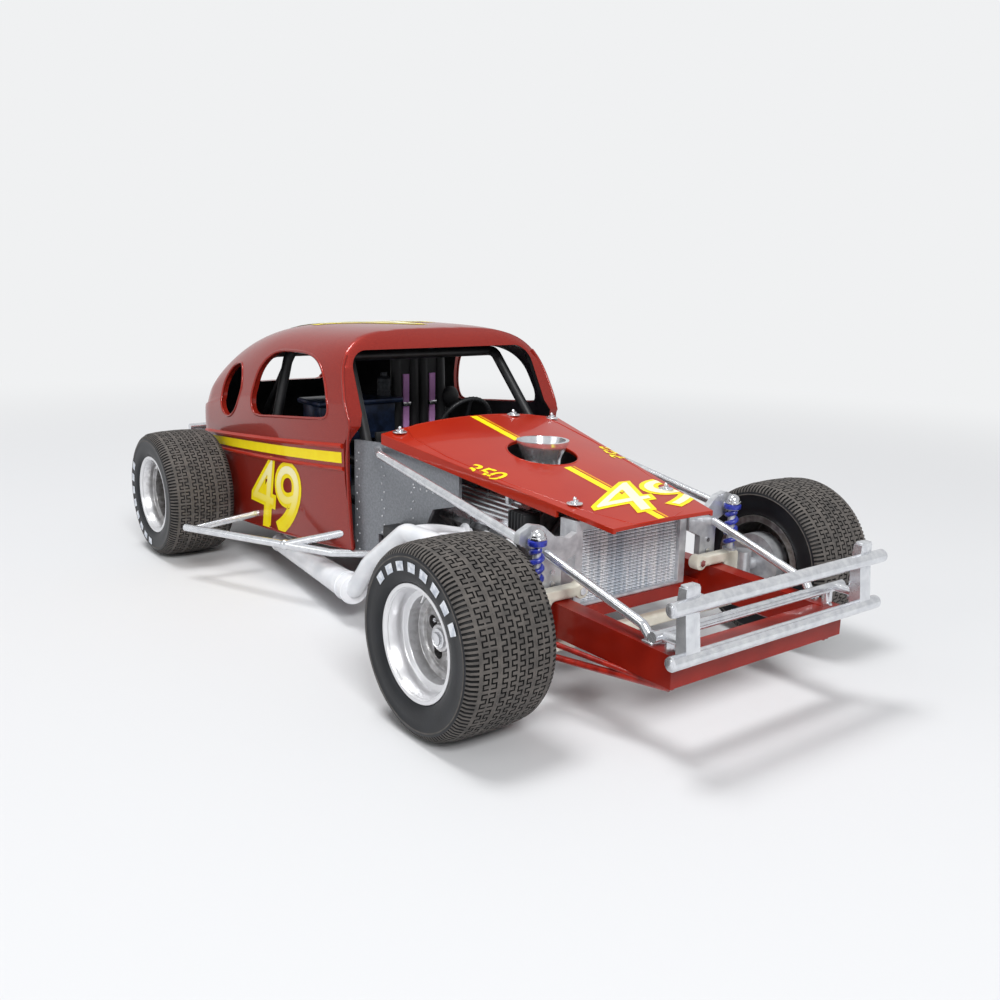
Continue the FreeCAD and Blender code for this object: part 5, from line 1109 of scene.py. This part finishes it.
class COUPE_OT_engine_details(bpy.types.Operator):
    """Cover ribs, plug leads, distributor, carburettor, pulleys and hoses"""

    bl_idname = "coupe.engine_details"
    bl_label = "Engine Details"

    def execute(self, context):
        for side, sign in SIDES.items():
            self.dress_cover(side, sign)
            leads = Piece()
            for number in range(4):
                y = 17.5 + number * 5.1
                leads.sweep([(sign * 0.5, 36.6, 27.2), (sign * 4.2, 34.5, 28.2),
                             (sign * 7.6, y + 3.4, 27.6 + 0.3 * number), (sign * 12.6, y + 0.6, 24.4),
                             (sign * 13.2, y, 19.6)], 0.2, 2)
                leads.rod((sign * 13.2, y, 19.6), (sign * 12.3, y, 18.9), 0.34, segments=10)
            leads.done("plug_leads_" + side, "black", sharp=80)
        self.add_distributor()
        boxes = Piece()
        for x in (-12.6, 12.6):
            boxes.box((x - 1.7, 11.9, 22.0), (x + 1.7, 15.8, 25.2), 0.3)
            for number in range(5):
                y = 12.3 + number * 0.8
                boxes.box((x - 1.9, y, 22.2), (x + 1.9, y + 0.3, 25.45), 0.08)
        boxes.done("ignition_boxes", "black")
        carburettor = Piece()
        for z, radius in ((26.0, 4.3), (27.3, 4.5), (28.55, 4.0)):
            carburettor.disc((0, 25, z), UP, radius, 0.45, 36, 0.12)
        for sign in SIDES.values():
            carburettor.box((sign * 3.2, 22.6, 25.9), (sign * 4.9, 27.4, 28.3), 0.2)
            for y in (23.6, 26.4):
                carburettor.rod((sign * 4.9, y, 27.0), (sign * 5.5, y, 27.0), 0.5)
        carburettor.done("carburettor", "plate")
        self.add_drive()
        return {"FINISHED"}

    def dress_cover(self, side, sign):
        """Ribs, bolts and the breather of a valve cover."""
        node = "valve_cover_" + side
        low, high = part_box(node)
        middle = (low + high) / 2
        lean = by(sign * 0.707, 0, 0.707)
        across = by(-sign * 0.707, 0, 0.707)
        ribs = Piece()
        run = by(0, (high.y - low.y) / MM / 2 - 2.2, 0)
        for number in range(5):
            spot = drop_on(node, middle + across * (number - 2) * 0.85, -lean)
            if spot:
                ribs.rod(spot - run, spot + run, 0.26, segments=10)
        for number in range(4):
            place = Vector((middle.x, low.y + (number + 0.5) / 4 * (high.y - low.y), middle.z))
            for reach in (-2.6, 2.6):
                spot = drop_on(node, place + across * reach, -lean)
                if spot:
                    ribs.disc(spot + lean * 0.15, lean, 0.38, 0.4, 6)
        spot = drop_on(node, Vector((middle.x, low.y + 5 * MM, middle.z)) + across * 1.2, -lean)
        if spot:
            ribs.rod(spot, spot + UP * 1.6, 0.75, 0.9, segments=20)
            ribs.ball(spot + UP * 1.6, 0.8, 16, 8)
        ribs.done("cover_ribs_" + side, "tubes")

    def add_distributor(self):
        """Distributor behind the intake stack, with a tower for each plug."""
        cap = Piece()
        foot = at(0, 36.4, 24.0)
        cap.rod(foot, foot + UP * 2.6, 0.95, segments=20)
        cap.rod(foot + UP * 2.4, foot + UP * 3.3, 1.35, 1.1, segments=20)
        for number in range(8):
            angle = math.tau * number / 8
            tower = foot + by(math.cos(angle), math.sin(angle), 0) * 0.95
            cap.rod(tower + UP * 3.0, tower + UP * 3.8, 0.2, segments=8)
        cap.done("distributor", "black")

    def add_drive(self):
        """Pulleys with their belt, the radiator's hoses and clamps."""
        pulleys = Piece()
        for x, z, radius in ((0, 12.4, 2.6), (0, 18.6, 2.3), (8.2, 20.2, 1.5)):
            pulleys.disc((x, PULLEYS_Y - 0.9, z), BACK, radius, 1.0, 32, 0.15)
            pulleys.disc((x, PULLEYS_Y - 1.5, z), BACK, radius * 0.45, 0.5, 20, 0.1)
            pulleys.rod((x, PULLEYS_Y - 0.6, z), (x, PULLEYS_Y + 0.6, z), 0.5)
        pulleys.rod((8.2, PULLEYS_Y - 0.2, 20.2), (8.2, PULLEYS_Y + 2.6, 20.2), 1.7, segments=24)
        pulleys.done("pulleys", "plating")
        rubber = Piece()
        rubber.sweep([(x, PULLEYS_Y - 0.9, z) for x, z in (
            (-2.75, 12.4), (-2.6, 18.6), (-1.2, 20.7), (8.2, 21.8), (9.8, 20.2), (8.6, 18.7), (2.5, 12.0),
            (0, 9.7))], 0.22, 2, cyclic=True)
        upper = [at(*place) for place in (
            (7.6, 6.0, 24.2), (7.4, 8.4, 24.4), (5.0, 10.6, 24.2), (2.6, 13.4, 24.0), (2.0, 16.4, 23.6))]
        lower = [at(*place) for place in (
            (-7.2, 6.0, 13.8), (-6.8, 9.0, 13.4), (-4.6, 11.4, 13.2), (-3.2, 13.6, 13.6))]
        rubber.sweep(upper, 0.75)
        rubber.sweep(lower, 0.75)
        rubber.done("belt_and_hoses", "black", sharp=60)
        clamps = Piece()
        for start, end in (upper[:2], upper[3:], lower[:2]):
            clamps.disc(start + (end - start) * 0.35, end - start, 0.9, 0.4, 24, 0.06)
        clamps.disc((-6.8, 4.4, 26.2), UP, 0.95, 0.3, 24, 0.08)
        clamps.done("hose_clamps", "plating")


# Middle of the seat, across the car
SEAT_X = 10.5

# Gauges in the dash: place across and up, radius of the rim and of the face, where it shows
GAUGES = (
    (9.8, 30.8, 1.6, 1.3), (5.6, 30.9, 1.1, 0.85), (2.6, 30.9, 1.1, 0.85), (14.0, 30.9, 1.1, 0.85),
    (5.6, 28.6, 0.8, None),
)

# Turns of the tape round the steering wheel, and the steps of each
WRAP_TURNS, WRAP_STEPS = 46, 8


class COUPE_OT_cabin(bpy.types.Operator):
    """Seat pads, buckles, dash with gauges, wheel wrap and the box beside the driver"""

    bl_idname = "coupe.cabin"
    bl_label = "Cabin"

    def execute(self, context):
        self.pad_seat()
        self.wrap_wheel()
        dash = Piece()
        dash.box((-17.6, 51.3, 27.4), (17.6, 52.0, 33.2), 0.15)
        dash.done("dash", "black")
        rims, faces = Piece(), Piece()
        for x, z, rim, face in GAUGES:
            rims.disc((x, 52.2, z), BACK, rim, 0.5, 28, 0.12)
            if face:
                faces.disc((x, 52.47, z), BACK, face, 0.08, 24)
        rims.done("gauge_rims", "plating")
        faces.done("gauge_faces", "chalk")
        box = Piece()
        box.box((-15.5, 77, 27.2), (2.4, 85, 34.8), 0.5)
        box.box((-16.4, 75.6, 34.6), (3.6, 85.8, 35.7), 0.4)
        for x in (-13.6, -7.4, -0.6):
            box.rod((x, 80.5, 14.2), (x, 80.5, 27.4), 0.7)
        box.done("side_box", "navy")
        bottle = Piece()
        base = at(1.7, 80.6, 35.6)
        bottle.rod(base, base + UP * 3.7, 1.4, segments=24)
        for rise in (1.0, 2.9):
            bottle.disc(base + UP * rise, UP, 1.5, 0.3, 24, 0.08)
        bottle.rod(base + UP * 3.7, base + UP * 4.3, 1.4, 0.8, segments=24)
        bottle.rod(base + UP * 4.2, base + UP * 5.0, 0.7)
        bottle.done("bottle", "core")
        return {"FINISHED"}

    def pad_seat(self):
        """Padding of the seat, its head rest and the buckles of the belts."""
        pads = Piece()
        for x, radius in ((-5.7, 1.15), (-1.25, 1.1), (1.25, 1.1), (5.7, 1.15)):
            pads.sweep([(SEAT_X + x, y, z) for y, z in (
                (80.9, 19.0), (80.6, 22), (80.6, 38), (81.0, 43.2))], radius)
        for sign in SIDES.values():
            pads.sweep([(SEAT_X + sign * x, y, z) for x, y, z in (
                (6.5, 69.3, 23.2), (6.6, 72, 24.2), (6.6, 79, 24.2), (6.9, 80.4, 26), (7.2, 80.8, 33.5))], 0.8)
        for y in (71.5, 74.3, 77.1):
            pads.sweep([(SEAT_X + x, y, z) for x, z in (
                (-5.0, 18.3), (-2.5, 18.5), (2.5, 18.5), (5.0, 18.3))], 0.9, 3)
        pads.done("seat_pads", "vinyl", sharp=50)
        rest = Piece()
        rest.ball((18.3, 79.6, 34.6), 2.2, 24, 14, (1.0, 0.6, 1.05))
        rest.done("head_rest", "vinyl", sharp=60)
        buckles = Piece()
        buckles.box((SEAT_X - 1.0, 74.2, 18.75), (SEAT_X + 1.0, 75.9, 19.15), 0.1)
        for x in (SEAT_X - 3.4, SEAT_X + 3.4):
            for z in (24.5, 33.5):
                buckles.box((x - 0.95, 79.75, z - 0.45), (x + 0.95, 80.2, z + 0.45), 0.08)
        buckles.done("belt_buckles", "plating")

    def wrap_wheel(self):
        """Tape wound round the steering wheel, and its hub."""
        hub = at(SEAT_X - 0.7, 62.0, 31.0)
        tilt = math.radians(22)
        axis = by(0, -math.cos(tilt), -math.sin(tilt))
        upward = by(0, -math.sin(tilt), math.cos(tilt))
        wrap = []
        for step in range(WRAP_TURNS * WRAP_STEPS):
            angle = math.tau * step / (WRAP_TURNS * WRAP_STEPS)
            twist = angle * WRAP_TURNS
            spoke = LEFT * math.cos(angle) + upward * math.sin(angle)
            wrap.append(hub + spoke * (6.2 + 0.42 * math.cos(twist)) + axis * 0.42 * math.sin(twist))
        tape = Piece()
        tape.sweep(wrap, 0.13, 1, smooth=False, cyclic=True)
        tape.disc(hub - axis * 0.7, axis, 1.5, 0.5, 24, 0.12)
        tape.done("wheel_wrap", "vinyl", sharp=80)


class COUPE_OT_lining(bpy.types.Operator):
    """Black sheet laid over the inside faces of the body"""

    bl_idname = "coupe.lining"
    bl_label = "Lining"

    def execute(self, context):
        bm = merged_copy("body_shell")
        outside = [face for face in bm.faces
                   if face.normal.dot(away_from_cabin(face.calc_center_median())) > -0.6]
        bmesh.ops.delete(bm, geom=outside, context="FACES")
        bm.normal_update()
        for vert in bm.verts:
            vert.co += vert.normal * 0.05 * MM
        Piece(bm).done("cabin_lining", "black", sharp=40, outward=False)
        return {"FINISHED"}


# Where the header's three pipes leave the engine, behind the front axle
PORTS = (15.5, 21.5, 27.5)


class COUPE_OT_chassis_details(bpy.types.Operator):
    """Spring domes and collars, bumper caps, bolts, weld beads, straps and rivets"""

    bl_idname = "coupe.chassis_details"
    bl_label = "Chassis Details"

    def execute(self, context):
        for side, sign in SIDES.items():
            self.add_suspension(side, sign)
            self.add_header(side, sign)
            self.add_feet(side, sign)
        self.add_bumper_fittings()
        self.add_comb()
        self.add_tail()
        return {"FINISHED"}

    def add_suspension(self, side, sign):
        """Dome, bolts and collar of a front spring."""
        bolts = Piece()
        bolts.ball((sign * 21.3, 0.1, 25.6), 1.15, 20, 14)
        bolts.disc((sign * 21.3, 0.1, 25.4), UP, 1.3, 0.4, 24, 0.1)
        for x, z in ((17.1, 17.4), (17.1, 19.2), (21.4, 25.0)):
            bolts.disc((sign * x, 1.5, z), AHEAD, 0.42, 0.3, 6)
        for y in (-23.2, -20.6):
            spot = drop_on("frame_rails", (sign * 16.6, y, ABOVE), -UP)
            if spot:
                bolts.disc(spot + UP * 0.15, UP, 0.5, 0.3, 6)
        bolts.done("suspension_bolts_" + side, "plating")
        collar = Piece()
        collar.disc((sign * 21.3, 0.2, 24.7), UP, 1.45, 0.9, 28, 0.2)
        collar.done("spring_collar_" + side, "blue")

    def add_header(self, side, sign):
        """Rounded pipes of a header, and the beads where they are welded."""
        knees = [at(sign * x, y, z) for x, y, z in (
            (24.6, 15.6, 20.4), (25.0, 29.5, 20.3), (26.0, 39.5, 12.6), (26.0, 45.0, 6.3), (25.6, 54.0, 6.3))]
        welds = Piece()
        for y in PORTS:
            welds.disc((sign * 14.6, y, 19.2), Vector((sign * 0.97, 0.1, 0.2)), 1.6, 0.5, 20, 0.12)
        run = Vector((-sign * 4.0, 39.0, -0.6)).normalized() * MM
        for reach, radius in ((0.4, 2.75), (3.2, 2.72), (38.6, 1.95)):
            welds.disc(knees[3] + run * reach, run, radius, 0.5, 32, 0.12)
        welds.done("header_welds_" + side, "white")
        line = knees[:1]
        for before, knee, after in zip(knees, knees[1:], knees[2:]):
            line += [knee + (before - knee).normalized() * 2.6 * MM, knee,
                     knee + (after - knee).normalized() * 2.6 * MM]
        pipes = Piece()
        pipes.sweep(line + knees[-1:], 1.6, 6)
        pipes.ball(knees[0], 1.6, 28, 16)
        pipes.rod(knees[3], (sign * 22, 84, 5.7), 2.6, 1.8, 40)
        for port in PORTS:
            pipes.sweep([(sign * x, port + back, z) for x, back, z in (
                (13.4, 0, 18.8), (15.6, 0.3, 19.15), (20.0, 0.9, 20.25), (22.8, 1.3, 20.4),
                (24.6, 1.5, 20.3))], 1.02, 5)
        header = pipes.done("header_pipes_" + side, "white", sharp=60)
        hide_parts("header_" + side)

    def add_feet(self, side, sign):
        """Foot of a front brace, and the eye and bolt of an axle perch."""
        low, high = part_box("front_brace_" + side)
        toe = Vector((high.x if sign > 0 else low.x, low.y, low.z)) + by(-sign * 1.9, 0.9, 0.8)
        foot = Piece()
        foot.ball(toe, 0.98, 20, 14)
        foot.box(toe + by(-1.0, -0.9, -1.0), toe + by(1.0, 1.2, -0.4), 0.15)
        foot.done("brace_foot_" + side, "tubes", sharp=50)
        low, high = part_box("front_axle")
        centre = Vector((sign * 13.2 * MM, (low.y + high.y) / 2, high.z - 0.95 * MM))
        eye = Piece()
        eye.disc(centre, AHEAD, 1.25, (high.y - low.y) / MM * 0.98, 32, 0.2)
        eye.done("perch_eye_" + side, "ivory", sharp=50)
        bolt = Piece()
        bolt.disc(Vector((centre.x, low.y, centre.z)), AHEAD, 0.62, 0.5, 6)
        bolt.done("perch_bolt_" + side, "plating")

    def add_bumper_fittings(self):
        """Clamps of the front bumper's uprights, and the caps of its tubes."""
        fittings = Piece()
        low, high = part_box("front_bumper")
        for sign in SIDES.values():
            x = sign * 18.6
            fittings.box((x - 1.15, -27.3, 22.8), (x + 1.15, -25.9, 25.1), 0.2)
            fittings.box((x - 0.4, -27.2, 15.8), (x + 0.4, -25.0, 21.9), 0.2)
            tip = high.x if sign > 0 else low.x
            for inset, z in ((0, 22.5), (0.4, 15.4)):
                cap = Vector((tip, low.y, 0)) + by(-sign * inset, 1.0, z)
                fittings.disc(cap, LEFT, 1.0, 0.2, 28, 0.09)
                fittings.disc(cap, LEFT, 0.62, 0.34, 24, 0.06)
        fittings.done("bumper_fittings", "tubes")

    def add_comb(self):
        """Rows of fins on the radiator's face."""
        low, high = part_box("radiator")
        fins = Piece()
        for number in range(int(((high.z - low.z) / MM - 0.4) / FIN_PITCH)):
            rise = 0.3 + number * FIN_PITCH
            fins.box(low + by(0.15, -0.16, rise), Vector((high.x, low.y, low.z)) + by(-0.15, 0.1, rise + 0.4))
        fins.done("radiator_fins", "fins")

    def add_tail(self):
        """Straps of the fuel cell, and the rivets and filler cap of the rear deck."""
        straps = Piece()
        for x in (-8.0, 8.0):
            for near, far, low, high in (
                (113.5, 124.4, 9.8, 10.1), (124.0, 124.35, 9.9, 18.9), (113.6, 113.95, 9.9, 18.9),
            ):
                straps.box((x - 0.7, near, low), (x + 0.7, far, high), 0.1)
        straps.done("fuel_cell_straps", "plate")
        deck = Piece()
        for number in range(15):
            spot = drop_on("rear_tub", (-21 + number * 3, 127.5, ABOVE), -UP)
            if spot and spot.z < 30 * MM:
                deck.ball(spot, 0.22, 8, 6)
        deck.disc((12.0, 123.5, 23.6), UP, 1.6, 0.6, 28, 0.15)
        deck.done("deck_fittings", "plate")


OPERATORS = (
    COUPE_OT_stage,
    COUPE_OT_finishes,
    COUPE_OT_tyres,
    COUPE_OT_side_stripes,
    COUPE_OT_lips,
    COUPE_OT_numbers,
    COUPE_OT_hood_trim,
    COUPE_OT_rivets,
    COUPE_OT_springs,
    COUPE_OT_wheel_details,
    COUPE_OT_engine_details,
    COUPE_OT_cabin,
    COUPE_OT_lining,
    COUPE_OT_chassis_details,
)


class COUPE_PT_panel(bpy.types.Panel):
    """Steps that dress the model, in order"""

    bl_label = "Modified Coupe"
    bl_idname = "COUPE_PT_panel"
    bl_space_type = "VIEW_3D"
    bl_region_type = "UI"
    bl_category = "Coupe"

    def draw(self, context):
        for group in (context.scene.coupe_colours, context.scene.coupe_sizes):
            for name in group.__annotations__:
                self.layout.prop(group, name)
        for operator in OPERATORS:
            self.layout.operator(operator.bl_idname)


CLASSES = (CoupeColours, CoupeSizes, *OPERATORS, COUPE_PT_panel)


def register():
    """Add the settings, the steps and the panel."""
    for cls in CLASSES:
        bpy.utils.register_class(cls)
    bpy.types.Scene.coupe_colours = bpy.props.PointerProperty(type=CoupeColours)
    bpy.types.Scene.coupe_sizes = bpy.props.PointerProperty(type=CoupeSizes)


def unregister():
    """Remove the panel, the steps and the settings."""
    del bpy.types.Scene.coupe_sizes
    del bpy.types.Scene.coupe_colours
    for cls in reversed(CLASSES):
        bpy.utils.unregister_class(cls)


def main():
    """Dress the model step by step."""
    register()
    for operator in OPERATORS:
        getattr(bpy.ops.coupe, operator.bl_idname.split(".")[1])()


if __name__ == "__main__":
    main()
